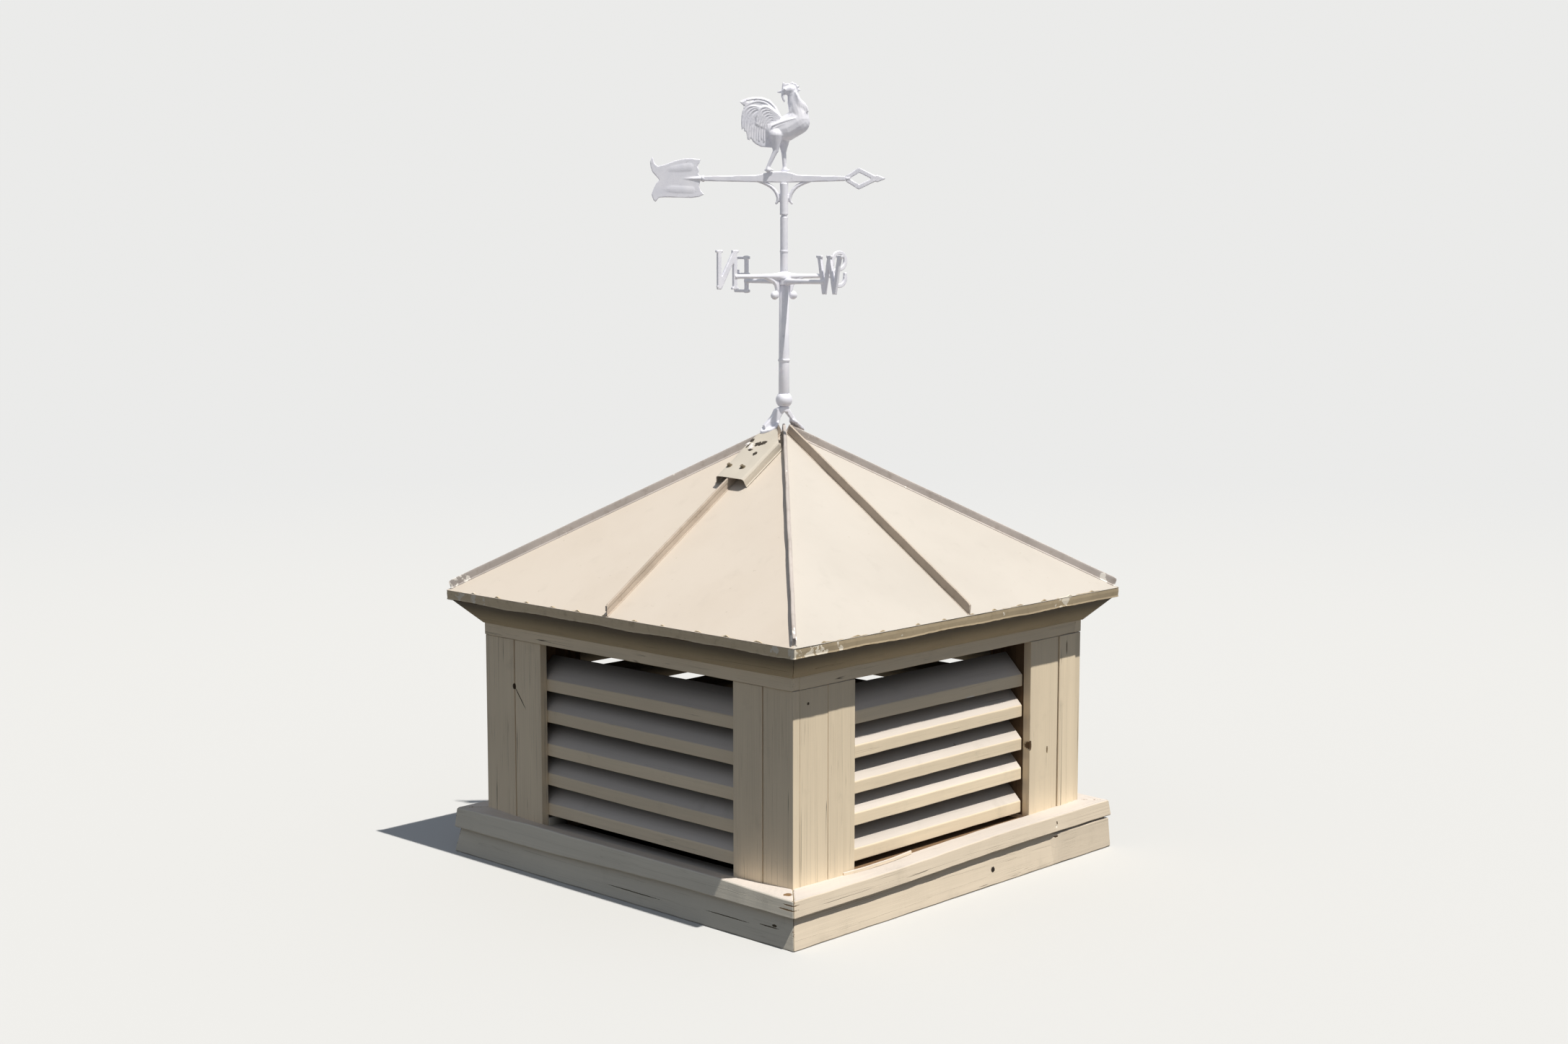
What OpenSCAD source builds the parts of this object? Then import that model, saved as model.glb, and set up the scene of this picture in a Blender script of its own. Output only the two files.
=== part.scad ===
// Garage cupola: louvered wooden body, pyramid sheet roof and a rooster weather vane that turns with the wind.
// Millimetres, +Z up. The origin is the centre of the square footprint at the skirt's level bottom edge.

/* [Body] */
// Width of the square body over the corner boards
body_w = 914; // [820:1:1040]
// Thickness of the wall boards
board_t = 19; // [16:1:24]
// Height of the wall boards from the sill to the frieze
wall_h = 379; // [360:1:460]
// Open seam between two wall boards that lie side by side
seam = 1; // [0.5:0.5:2]
// Width of the front face's left corner board
front_corner_l = 80; // [60:1:95]
// Width of the front face's left jamb board
front_jamb_l = 77; // [60:1:100]
// Width of the front face's right jamb board
front_jamb_r = 98; // [60:1:100]
// Width of the front face's right corner board
front_corner_r = 59; // [50:1:95]
// Width of the side face's front corner board
side_corner_f = 80; // [60:1:95]
// Width of the side face's front jamb board
side_jamb_f = 79; // [60:1:100]
// Width of the side face's rear jamb board
side_jamb_r = 85; // [60:1:100]
// Width of the side face's rear corner board
side_corner_r = 95; // [60:1:100]
// Width of a square corner post behind the boards
post = 38; // [30:1:60]
// Thickness of a louver stud
stud_t = 38; // [30:1:45]
// Depth of a louver stud behind the boards
stud_d = 89; // [70:1:100]

/* [Base] */
// Height of the skirt under the sill
skirt_h = 64; // [45:1:90]
// Thickness of a skirt board
skirt_t = 38; // [30:1:45]
// How far the skirt's bottom stands out from the wall
skirt_out = 54; // [40:1:70]
// How far the skirt leans in from its bottom to its top
skirt_lean = 11; // [0:1:20]
// Thickness of the flat sill
sill_t = 38; // [30:1:45]
// How far the sill's bottom edge stands out from the wall
sill_out = 54; // [40:1:70]
// How far the sill's front face leans in to its top
sill_lean = 5; // [0:1:10]
// Fall of the sill's weathered top outside the wall
sill_fall = 2; // [0:0.5:5]
// How far the sill reaches in from the wall's face
sill_in = 70; // [60:1:110]

/* [Louvers] */
// Number of slats in an opening
slats = 5; // [5:1:5]
// Height from one slat to the next
slat_pitch = 68; // [60:1:70]
// Gap under the lowest slat's front edge
slat_first = 6; // [2:1:12]
// Thickness of a slat
slat_t = 18; // [12:1:22]
// Level depth of a slat from its front edge to its back edge
slat_run = 45; // [36:1:60]
// Slope of a slat, rising inward
slat_angle = 45; // [30:1:50]
// How far a side opening's slats run on behind its rear jamb board
slat_past = 34; // [0:1:40]

/* [Eaves] */
// Height of the frieze board
frieze_h = 84; // [70:1:95]
// Height of the frieze that shows below the crown board
frieze_show = 25; // [20:1:40]
// How far the side faces' frieze boards stand proud of the wall
frieze_proud = 3; // [1:1:6]
// Thickness of the sloping crown board
crown_t = 19; // [16:1:22]
// How far the crown board's top edge stands out from the wall
crown_out = 53; // [45:1:56]
// Height of the crown board's top edge over its foot
crown_rise = 54; // [45:1:65]
// Depth of a top plate from its outer face
plate_t = 38; // [30:1:45]
// Height of the frieze's top above the plate's bottom
plate_lap = 5; // [0:1:10]

/* [Roof] */
// Rise of the roof for each unit of run
roof_rise = 0.67; // [0.6:0.01:0.75]
// How far the eave stands out from the wall
eave_out = 59; // [58:1:75]
// Height of the drip edge's turned-down flange
drip_h = 20; // [14:1:24]
// Thickness of the drip edge
drip_t = 2; // [1.5:0.5:3]
// Thickness of a roof sheet
sheet_t = 2; // [1.5:0.5:3]
// Thickness of the roof deck under the sheets
deck_t = 16; // [12:1:19]
// Open joint between two deck panels or two drip edges at a hip
hip_joint = 1; // [0.5:0.5:2]
// Width of a hip rib
hip_rib_w = 16; // [10:1:24]
// Height of a hip rib over the ridge
hip_rib_h = 16; // [12:1:26]
// Width of the folded rib at the middle of a roof face
mid_rib_w = 9; // [6:1:14]
// Height of the folded rib at the middle of a roof face
mid_rib_h = 20; // [12:1:28]
// Distance from the axis to the upper end of each rib
rib_start = 22; // [18:1:30]

/* [Vane stand] */
// Turn of the two legs from the middle of the side faces
stand_turn = 27; // [0:1:40]
// Distance from the axis to the tip of a leg's foot
foot_r = 54; // [50:1:70]
// Length of a leg's foot, seen from above
foot_l = 45; // [36:1:46]
// Width of a leg's foot
foot_w = 42; // [30:1:50]
// Width of a leg
leg_w = 18; // [12:1:24]
// Thickness of a leg's foot
leg_t = 6; // [4:0.5:8]
// Distance from the axis to the bend of a leg
leg_bend_r = 26; // [24:1:30]
// Drop of a leg's bend below the collar's top
leg_bend_drop = 18; // [16:1:20]
// Thickness of a leg, seen from the side
leg_thick = 13; // [8:1:14]
// Height of the stand's collar top over the roof's peak
collar_top = 50.6; // [48:0.1:64]
// Radius of the stand's collar
collar_r = 11; // [9:0.5:14]
// Height of the stand's collar
collar_h = 14; // [10:1:20]
// Radius of the ball
ball_r = 15.5; // [13:0.5:20]
// Height of the ball between its flats
ball_h = 27; // [20:1:30]
// Radius of the lower rod at the ball
rod_r_low = 11.7; // [10:0.1:13]
// Radius of the lower rod at its top
rod_r_top = 10; // [9:0.1:12]
// Length of the lower rod
rod_l = 231; // [180:1:280]
// Height of the rod's collar ring over the ball
ring_up = 69; // [40:1:100]
// How far a collar ring stands out from its rod
ring_out = 2; // [1:0.5:4]
// Height of a collar ring
ring_h = 5; // [3:0.5:8]
// Radius of the spindle above the rod
spindle_r = 8.2; // [7:0.1:9]
// Length of the spindle from the rod's top to its shoulder
spindle_l = 144; // [120:1:180]
// Height of the spindle's ring over the rod's top
spindle_ring_up = 69; // [50:1:90]
// Radius of the bearing pin on the spindle
pin_r = 5; // [4:0.1:5.5]
// Length of the bearing pin above the spindle's shoulder
pin_l = 66; // [50:1:66]

/* [Compass] */
// Direction of the north arm, counted from +X towards +Y
north_turn = 172; // [0:1:359]
// Height of one compass casting's hub
hub_h = 14; // [12:1:18]
// Radius of a compass casting's hub
hub_r = 14; // [12:0.5:18]
// Radial clearance of a compass casting on the spindle
hub_clear = 0.1; // [0.05:0.05:0.3]
// Radius of a compass arm
arm_r = 5; // [4:0.5:6.5]
// Distance from the axis to the middle of a letter
letter_r = 152; // [130:1:200]
// Height of a letter
letter_h = 82; // [60:1:90]
// Height of the arm over a letter's foot
letter_foot = 27; // [20:1:35]
// Thickness of a letter
letter_t = 7; // [5:0.5:10]
// Width of a letter's stroke
stroke = 9; // [6:0.5:11]
// Distance from the axis to a scroll's ball
scroll_r = 25; // [22:0.5:34]
// Radius of a scroll's ball
scroll_ball_r = 8.5; // [5:0.5:9]
// Drop of a scroll's ball below its arm
scroll_drop = 44; // [40:1:50]

/* [Arrow] */
// Direction of the arrow at rest, counted from +X towards +Y
arrow_turn = -46; // [-180:1:180]
// Gap between the spindle's shoulder and the turning sleeve
sleeve_gap = 4; // [2:0.5:6]
// Radius of the turning sleeve
sleeve_r = 9; // [8.5:0.5:11]
// Length of the turning sleeve
sleeve_l = 68; // [66:1:90]
// Radial running clearance of the sleeve on the pin
pin_clear = 0.06; // [0.03:0.01:0.1]
// Clearance over the pin's tip inside the sleeve
tip_clear = 0.3; // [0.2:0.1:1]
// Height of the arrow shaft at the sleeve
shaft_h = 17; // [14:1:22]
// Height of the arrow shaft at its ends
shaft_end_h = 11; // [8:1:13]
// Thickness of the arrow shaft
shaft_t = 11; // [8:1:14]
// Distance from the axis to the shaft's tail end
shaft_back = 170; // [140:1:200]
// Distance from the axis to the shaft's front end
shaft_front = 130; // [100:1:160]
// Reach of the mound under the rooster behind the axis
mound_back = 56; // [45:1:70]
// Reach of the mound under the rooster in front of the axis
mound_front = 28; // [20:1:40]
// Height of the mound over the shaft's top
mound_h = 7; // [5:1:12]
// Radius of a bracket's curve
bracket_r = 36; // [28:1:44]
// Radius of a bracket's rod
bracket_rod = 3.4; // [2.5:0.1:4.5]
// Length of the arrow's tail
tail_l = 109; // [90:1:140]
// Height of the arrow's tail over its barbs
tail_h = 98; // [70:1:110]
// Thickness of the arrow's tail
tail_t = 5; // [4:0.5:8]
// Length of the arrow's point from the shaft's end
point_l = 85; // [70:1:110]
// Height of the arrow's open diamond
point_h = 47; // [36:1:60]
// Width of the diamond's bars
point_bar = 9; // [6:0.5:11]
// Thickness of the arrow's point
point_t = 9; // [6:0.5:11]

/* [Rooster] */
// Height of the rooster from its feet to its comb
rooster_h = 187; // [150:1:220]
// Thickness of the rooster's body
rooster_t = 34; // [24:1:44]

/* [Hidden] */

// Sides, as quarter turns from the front face
front = 0;
right = 1;
back = 2;
left = 3;

// Body
body = body_w / 2;
inner = body - board_t;
front_open_l = -inner + front_corner_l + front_jamb_l;
front_open_r = inner - front_corner_r - front_jamb_r;
side_open_l = -body + side_corner_r + side_jamb_r;
side_open_r = body - side_corner_f - side_jamb_f;
sill_z = skirt_h;
wall_z = sill_z + sill_t;
frieze_z = wall_z + wall_h;
crown_z = frieze_z + frieze_show;
plate_z = frieze_z + frieze_h - plate_lap;

// Roof planes, as heights on the axis
slope_k = sqrt(1 + roof_rise * roof_rise);
roof_angle = atan(roof_rise);
hip_rise = roof_rise / sqrt(2);
hip_angle = atan(hip_rise);
eave = body + eave_out;
deck_under = crown_z + crown_rise + (body + crown_out) * roof_rise;
deck_top = deck_under + deck_t * slope_k;
peak = deck_top + sheet_t * slope_k;
eave_z = peak - eave * roof_rise;

// Vane heights
collar_z = peak + collar_top;
rod_z = collar_z + ball_h;
hub_z = rod_z + rod_l;
upper_hub_z = hub_z + hub_h;
shoulder_z = hub_z + spindle_l;
sleeve_z = shoulder_z + sleeve_gap;
bore_l = pin_l - sleeve_gap + tip_clear;
shaft_z = sleeve_z + sleeve_l + shaft_h / 2;
mound_z = shaft_z + shaft_h / 2 + mound_h;

// Colours
paint = [0.80, 0.74, 0.62];
paint_shade = [0.74, 0.68, 0.57];
lumber = [0.76, 0.62, 0.44];
sheet_paint = [0.93, 0.88, 0.81];
rib_paint = [0.78, 0.72, 0.66];
cast = [0.86, 0.86, 0.88];

eps = 0.01;
far = 2000;

// Wedge of plan that belongs to the front side, up to the diagonals; cut_back opens a joint along them
module front_wedge(cut_back = 0) {
    translate([0, -cut_back * sqrt(2) / 2, -far / 2])
        linear_extrude(far)
            polygon([[0, 0], [-far, -far], [far, -far]]);
}

// Places a child that is drawn for the front side on another side
module on_side(side) {
    rotate(90 * side) children();
}

// Board along the front side with mitred ends, from a profile of [distance from the axis, height]
module mitred_board(profile, joint = 0) {
    intersection() {
        rotate([90, 0, 0]) rotate([0, -90, 0])
            translate([0, 0, -far / 2])
                linear_extrude(far) polygon([for (p = profile) [p[0], p[1]]]);
        front_wedge(joint);
    }
}

function deck_under_at(h) = deck_under - roof_rise * h;
function open_from(side) = side % 2 == 0 ? front_open_l : side_open_l;
function open_to(side) = side % 2 == 0 ? front_open_r : side_open_r;
function slats_from(side) = open_from(side) - (side % 2 == 0 ? 0 : slat_past);
function frieze_face(side) = side % 2 == 0 ? body : body + frieze_proud;

module skirt(side) {
    low = body + skirt_out;
    high = low - skirt_lean;
    color(paint_shade) on_side(side)
        mitred_board([[low, 0], [high, skirt_h], [high - skirt_t, skirt_h], [low - skirt_t, 0]]);
}

// The sills are cut back to the wall's face under the openings
module sill(side) {
    low = body + sill_out;
    color(paint) on_side(side)
        difference() {
            mitred_board([[low, sill_z], [low - sill_lean, wall_z - sill_fall], [body, wall_z],
                          [body - sill_in, wall_z], [body - sill_in, sill_z]]);
            translate([open_from(side), -body, sill_z - eps])
                cube([open_to(side) - open_from(side), sill_in + eps, sill_t + 2 * eps]);
        }
}

module wall_board(from, to) {
    translate([from, -body, wall_z]) cube([to - from, board_t, wall_h]);
}

module boards(side) {
    color(paint) on_side(side)
        if (side % 2 == 0) {
            wall_board(-inner, -inner + front_corner_l - seam / 2);
            wall_board(-inner + front_corner_l + seam / 2, front_open_l);
            wall_board(front_open_r, front_open_r + front_jamb_r - seam / 2);
            wall_board(front_open_r + front_jamb_r + seam / 2, inner);
        } else {
            wall_board(-body, -body + side_corner_r - seam / 2);
            wall_board(-body + side_corner_r + seam / 2, side_open_l);
            wall_board(side_open_r, side_open_r + side_jamb_f - seam / 2);
            wall_board(side_open_r + side_jamb_f + seam / 2, body);
        }
}

module slat(from, to) {
    plumb = slat_t / cos(slat_angle);
    rise = slat_run * tan(slat_angle);
    translate([to, -inner, 0]) rotate([90, 0, -90])
        linear_extrude(to - from)
            polygon([[0, 0], [0, plumb], [-slat_run, plumb + rise], [-slat_run, rise]]);
}

module louvers(side) {
    color(paint) on_side(side)
        for (i = [0:slats - 1])
            translate([0, 0, wall_z + slat_first + i * slat_pitch]) slat(slats_from(side), open_to(side));
}

module frieze(side) {
    ends = side % 2 == 0 ? inner : body;
    color(paint) on_side(side)
        translate([-ends, -frieze_face(side), frieze_z])
            cube([2 * ends, frieze_face(side) - inner, frieze_h]);
}

module crown(side) {
    face = frieze_face(side);
    top = body + crown_out;
    rise = (deck_under_at(top) - crown_z) / (top - face);
    upright = crown_t * sqrt(1 + rise * rise);
    back_top = (deck_under - crown_z - upright + rise * face) / (rise + roof_rise);
    color(paint_shade) on_side(side)
        mitred_board([[face, crown_z], [top, deck_under_at(top)],
                      [back_top, deck_under_at(back_top)], [face, crown_z + upright]]);
}

module wall_posts() {
    post_h = plate_z - wall_z;
    color(lumber) {
        for (side = [front:left])
            on_side(side) translate([-inner, -inner, wall_z]) cube([post, post, post_h]);
        for (side = [front:left])
            on_side(side) {
                translate([slats_from(side) - stud_t, -inner, wall_z]) cube([stud_t, stud_d, post_h]);
                translate([open_to(side), -inner, wall_z]) cube([stud_t, stud_d, post_h]);
            }
    }
}

module top_plates() {
    color(lumber)
        for (side = [front:left])
            on_side(side)
                mitred_board([[inner, plate_z], [inner, deck_under_at(inner)],
                              [inner - plate_t, deck_under_at(inner - plate_t)],
                              [inner - plate_t, plate_z]], hip_joint);
}

// Sloping panel of one roof face, between two heights on the axis, out to a distance from the axis
module roof_face(under, top, out, joint = 0) {
    mitred_board([[0, under], [0, top], [out, top - roof_rise * out], [out, under - roof_rise * out]], joint);
}

module roof_deck() {
    color(lumber)
        for (side = [front:left])
            on_side(side) roof_face(deck_under, deck_top, eave - drip_t, hip_joint);
}

module roof_sheet(side) {
    color(sheet_paint) on_side(side) roof_face(deck_top, peak, eave);
}

module drip_edges() {
    top = deck_top - roof_rise * eave;
    color(paint_shade)
        for (side = [front:left])
            on_side(side)
                mitred_board([[eave - drip_t, eave_z - drip_h], [eave, eave_z - drip_h],
                              [eave, top], [eave - drip_t, top + roof_rise * drip_t]], hip_joint);
}

// Straight rib that lies down a slope from the axis; valley is how far its underside drops at its edges
module rib(angle, start, end, width, height, valley) {
    long = (end - start) / cos(angle);
    translate([0, 0, peak]) rotate([0, angle, 0])
        translate([start / cos(angle), 0, 0])
            rotate([90, 0, 90])
                linear_extrude(long)
                    polygon([[-width / 2, -valley], [0, 0], [width / 2, -valley],
                             [width / 2, height], [-width / 2, height]]);
}

module hip_ribs() {
    color(rib_paint)
        for (side = [front:left])
            rotate(45 + 90 * side)
                rib(hip_angle, rib_start, eave * sqrt(2) - hip_rib_w, hip_rib_w, hip_rib_h,
                    hip_rise * cos(hip_angle) * hip_rib_w / 2);
}

module mid_ribs() {
    color(rib_paint)
        for (side = [front:left])
            rotate(90 * side)
                rib(roof_angle, rib_start, eave - mid_rib_h, mid_rib_w, mid_rib_h, 0);
}

// Top of a mid rib's plane, h out from the axis
function mid_rib_top(h) = peak + mid_rib_h * slope_k - roof_rise * h;

// Leg of the stand, to the right: a stout strap down to a round-tipped foot that lies askew on the mid rib
module leg() {
    thick = leg_t * slope_k;
    half_l = foot_l / 1.5;
    fall = roof_rise * cos(stand_turn);
    inner = leg_bend_r - leg_thick;
    heel = leg_bend_r + leg_t;
    rotate(-stand_turn) translate([0, leg_w / 2, 0]) rotate([90, 0, 0])
        linear_extrude(leg_w)
            polygon([[0, collar_z - leg_t], [collar_r + leg_t / 2, collar_z - leg_t],
                     [leg_bend_r, collar_z - leg_bend_drop],
                     [heel, mid_rib_top(0) - fall * heel + thick * 0.9],
                     [leg_bend_r, mid_rib_top(0) - fall * leg_bend_r + thick * 0.5],
                     [inner, collar_z - leg_bend_drop - leg_t / 2], [0, collar_z - collar_h]]);
    intersection() {
        rotate(-stand_turn)
            linear_extrude(collar_z)
                polygon([for (a = [-120:15:120]) [foot_r - half_l + half_l * cos(a), foot_w / 2 * sin(a)]]);
        translate([0, foot_r, 0]) rotate([90, 0, 0])
            linear_extrude(2 * foot_r)
                polygon([[0, mid_rib_top(0)], [foot_r, mid_rib_top(foot_r)],
                         [foot_r, mid_rib_top(foot_r) + thick], [0, mid_rib_top(0) + thick]]);
    }
}

module vane_stand() {
    color(cast) {
        translate([0, 0, collar_z - collar_h]) cylinder(h = collar_h, r = collar_r, $fn = 64);
        for (turn = [0, 180]) rotate(turn) leg();
    }
}

module vane_ball() {
    color(cast) translate([0, 0, collar_z + ball_h / 2])
        intersection() {
            sphere(r = ball_r, $fn = 64);
            cube([3 * ball_r, 3 * ball_r, ball_h], center = true);
        }
}

module vane_rod() {
    color(cast) translate([0, 0, rod_z]) {
        cylinder(h = rod_l, r1 = rod_r_low, r2 = rod_r_top, $fn = 64);
        translate([0, 0, ring_up]) cylinder(h = ring_h, r = rod_r_low + ring_out, $fn = 64);
    }
}

module vane_spindle() {
    color(cast) translate([0, 0, hub_z]) {
        cylinder(h = spindle_l, r = spindle_r, $fn = 64);
        translate([0, 0, spindle_ring_up]) cylinder(h = ring_h, r = spindle_r + ring_out / 2, $fn = 64);
        cylinder(h = spindle_l + pin_l, r = pin_r, $fn = 64);
    }
}

// Letters, drawn around the middle of their foot line, with serifs
module bar(from, to, width) {
    turn = atan2(to[1] - from[1], to[0] - from[0]);
    long = norm(to - from);
    translate(from) rotate(turn) translate([0, -width / 2]) square([long, width]);
}

module serif(x, y, width) {
    translate([x - width / 2, y]) square([width, stroke / 2]);
}

module letter_n() {
    half = letter_h * 0.27;
    top = letter_h - stroke / 2;
    for (x = [-half, half]) bar([x, 0], [x, letter_h], stroke * 0.8);
    intersection() {
        bar([-half - stroke / 4, letter_h + stroke], [half + stroke / 4, -stroke], stroke * 1.3);
        translate([-half - stroke / 2, 0]) square([2 * half + stroke, letter_h]);
    }
    serif(-half, 0, 2 * stroke);
    serif(-half - stroke / 4, top, 2 * stroke);
    serif(half, top, 2 * stroke);
}

module letter_w() {
    half = letter_h * 0.4;
    top = letter_h - stroke / 2;
    for (s = [-1, 1]) {
        bar([s * half, letter_h], [s * half / 2, stroke / 2], stroke);
        bar([0, letter_h], [s * half / 2, stroke / 2], stroke * 0.8);
        translate([s * half / 2 - stroke / 2, 0]) square([stroke, stroke]);
        serif(s * half, top, 2 * stroke);
    }
    serif(0, top, 1.6 * stroke);
}

module letter_e() {
    half = letter_h * 0.25;
    bar([-half, 0], [-half, letter_h], stroke);
    for (y = [stroke / 2, letter_h / 2, letter_h - stroke / 2])
        bar([-half - stroke, y], [y == letter_h / 2 ? half / 2 : half, y], stroke * 0.7);
    for (y = [0, letter_h - 2 * stroke]) translate([half - stroke / 2, y]) square([stroke / 2, 2 * stroke]);
    translate([half / 2 - stroke / 2, letter_h / 2 - stroke]) square([stroke / 2, 2 * stroke]);
}

module letter_s() {
    bend = (letter_h + stroke) / 4;
    for (s = [-1, 1])
        translate([0, letter_h / 2 + s * (bend - stroke / 2)])
            difference() {
                circle(r = bend, $fn = 64);
                circle(r = bend - stroke, $fn = 64);
                rotate(s > 0 ? -90 : 90) square(2 * bend);
            }
    for (s = [-1, 1])
        translate([s * (bend - stroke / 2) - stroke / 2, letter_h / 2 + s * (bend - stroke / 2) - stroke])
            square([stroke, 2 * stroke]);
}

// Arm from the hub to a letter, with the letter in the arm's upright plane
module compass_arm(turn, half, flip) {
    rotate(turn) {
        rotate([0, 90, 0]) translate([0, 0, spindle_r + stroke / 2])
            cylinder(h = letter_r - half - spindle_r, r = arm_r, $fn = 48);
        translate([letter_r, letter_t / 2, -letter_foot])
            rotate([90, 0, 0]) linear_extrude(letter_t)
                mirror([flip ? 1 : 0, 0]) children();
    }
}

module compass_hub(height, dome) {
    difference() {
        union() {
            cylinder(h = height, r = hub_r, $fn = 64);
            if (dome)
                intersection() {
                    translate([0, 0, height - hub_r / 2]) sphere(r = hub_r, $fn = 64);
                    cylinder(h = 2 * hub_r, r = hub_r, $fn = 64);
                }
        }
        translate([0, 0, -eps]) cylinder(h = 3 * hub_r, r = spindle_r + hub_clear, $fn = 64);
    }
}

module scroll(turn) {
    rotate(turn) {
        hull() {
            translate([hub_r + 2 * arm_r, 0, 0]) sphere(r = arm_r * 0.7, $fn = 24);
            translate([hub_r + arm_r / 2, 0, -scroll_drop * 0.55]) sphere(r = arm_r * 0.6, $fn = 24);
        }
        hull() {
            translate([hub_r + arm_r / 2, 0, -scroll_drop * 0.55]) sphere(r = arm_r * 0.6, $fn = 24);
            translate([scroll_r, 0, -scroll_drop]) sphere(r = arm_r * 0.6, $fn = 24);
        }
        translate([scroll_r, 0, -scroll_drop]) sphere(r = scroll_ball_r, $fn = 32);
    }
}

module compass_north_south() {
    color(cast) {
        translate([0, 0, upper_hub_z]) compass_hub(hub_h / 2, true);
        translate([0, 0, upper_hub_z + arm_r]) {
            compass_arm(north_turn, letter_h * 0.27, false) letter_n();
            compass_arm(north_turn + 180, letter_h * 0.2, true) letter_s();
            for (turn = [0, 180]) scroll(north_turn + turn);
        }
    }
}

module compass_east_west() {
    color(cast) {
        translate([0, 0, hub_z]) compass_hub(hub_h, false);
        translate([0, 0, hub_z + hub_h / 2 + 1]) {
            compass_arm(north_turn - 90, letter_h * 0.25, false) letter_e();
            compass_arm(north_turn + 90, letter_h * 0.2, true) letter_w();
        }
    }
}

// Quarter curve of round rod from the shaft's underside to the sleeve
module bracket() {
    drop = bracket_r + bracket_rod + shaft_end_h / 2 + 2.2;
    translate([sleeve_r + bracket_r, 0, shaft_z - drop]) rotate([90, 0, 0])
        rotate([0, 0, 90]) rotate_extrude(angle = 90, $fn = 96)
            translate([bracket_r, 0]) circle(r = bracket_rod, $fn = 32);
}

module vane_sleeve() {
    color(cast) rotate(arrow_turn) {
        difference() {
            translate([0, 0, sleeve_z]) cylinder(h = sleeve_l, r = sleeve_r, $fn = 64);
            translate([0, 0, sleeve_z - eps])
                cylinder(h = bore_l + eps, r = pin_r + pin_clear, $fn = 64);
        }
        difference() {
            union() {
                bracket();
                rotate(180) bracket();
            }
            translate([0, 0, sleeve_z - far / 2]) cylinder(h = far, r = sleeve_r - 2, $fn = 64);
        }
    }
}

module arrow_shaft() {
    low = -shaft_h / 2;
    mound_w = mound_back + mound_front;
    mound_arc = (mound_w * mound_w / 4 + mound_h * mound_h) / (2 * mound_h);
    color(cast) rotate(arrow_turn) translate([0, shaft_t / 2, shaft_z])
        rotate([90, 0, 0]) linear_extrude(shaft_t) {
            polygon([[-shaft_back, -shaft_end_h / 2], [-sleeve_r, low], [sleeve_r, low],
                     [shaft_front, -shaft_end_h / 2], [shaft_front, shaft_end_h / 2],
                     [0, shaft_h / 2], [-shaft_back, shaft_end_h / 2]]);
            intersection() {
                translate([(mound_front - mound_back) / 2, shaft_h / 2 + mound_h - mound_arc])
                    circle(r = mound_arc, $fn = 180);
                translate([-mound_back - mound_w, 0]) square([3 * mound_w, 2 * shaft_h]);
            }
        }
}

// Tail plate with two barbs and a swallow notch behind; its outline is in shares of its length and half height
module arrow_tail() {
    outline = [[0, 0.16], [0.06, 0.45], [0, 0.66], [-0.08, 0.82], [-0.24, 0.84], [-0.46, 0.66], [-0.66, 0.5],
               [-0.82, 0.5], [-0.92, 0.58], [-1, 1], [-1.04, 0.62], [-0.96, 0.3], [-0.8, 0.02], [-0.8, -0.12],
               [-0.92, -0.34], [-1, -0.62], [-0.98, -1], [-0.86, -0.72], [-0.76, -0.6], [-0.54, -0.74],
               [-0.3, -0.84], [-0.1, -0.84], [0.06, -0.72], [-0.02, -0.52], [0, -0.16]];
    color(cast) rotate(arrow_turn) translate([-shaft_back, tail_t / 2, shaft_z])
        rotate([90, 0, 0]) {
            linear_extrude(tail_t)
                polygon([for (p = outline) [p[0] * tail_l, p[1] * tail_h / 2]]);
            translate([0, 0, tail_t / 2]) rotate([0, -90, 0])
                cylinder(h = 0.5 * tail_l, r1 = shaft_end_h / 2, r2 = tail_t / 2, $fn = 48);
        }
}

// Open diamond on the shaft's end with a flared tip
module arrow_point() {
    half = point_h / 2;
    neck = shaft_end_h / 2;
    wide = 0.35 * point_l;
    color(cast) rotate(arrow_turn) translate([shaft_front, point_t / 2, shaft_z])
        rotate([90, 0, 0]) linear_extrude(point_t)
            difference() {
                polygon([[0, -neck], [0, neck], [0.1 * point_l, neck], [wide - neck, half - neck / 2],
                         [wide, half], [wide + neck, half - neck / 2], [0.7 * point_l, neck],
                         [0.8 * point_l, 1.4 * neck], [point_l, 0.2 * neck], [point_l, -0.2 * neck],
                         [0.8 * point_l, -1.4 * neck], [0.7 * point_l, -neck],
                         [wide + neck, -half + neck / 2], [wide, -half], [wide - neck, -half + neck / 2],
                         [0.1 * point_l, -neck]]);
                polygon([[0.15 * point_l, 0], [wide, half - 1.3 * point_bar],
                         [0.62 * point_l, 0], [wide, -half + 1.3 * point_bar]]);
            }
}

// Rooster parts are placed in shares of its height: forward of the axis and over the feet
module lump(x, z, r, flat = 1, side = 0) {
    translate([x * rooster_h, side * rooster_t, z * rooster_h]) scale([1, flat, 1]) sphere(r = r * rooster_h, $fn = 28);
}

module plate(outline, thick) {
    translate([0, thick / 2, 0]) rotate([90, 0, 0])
        linear_extrude(thick) polygon([for (p = outline) rooster_h * p]);
}

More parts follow.
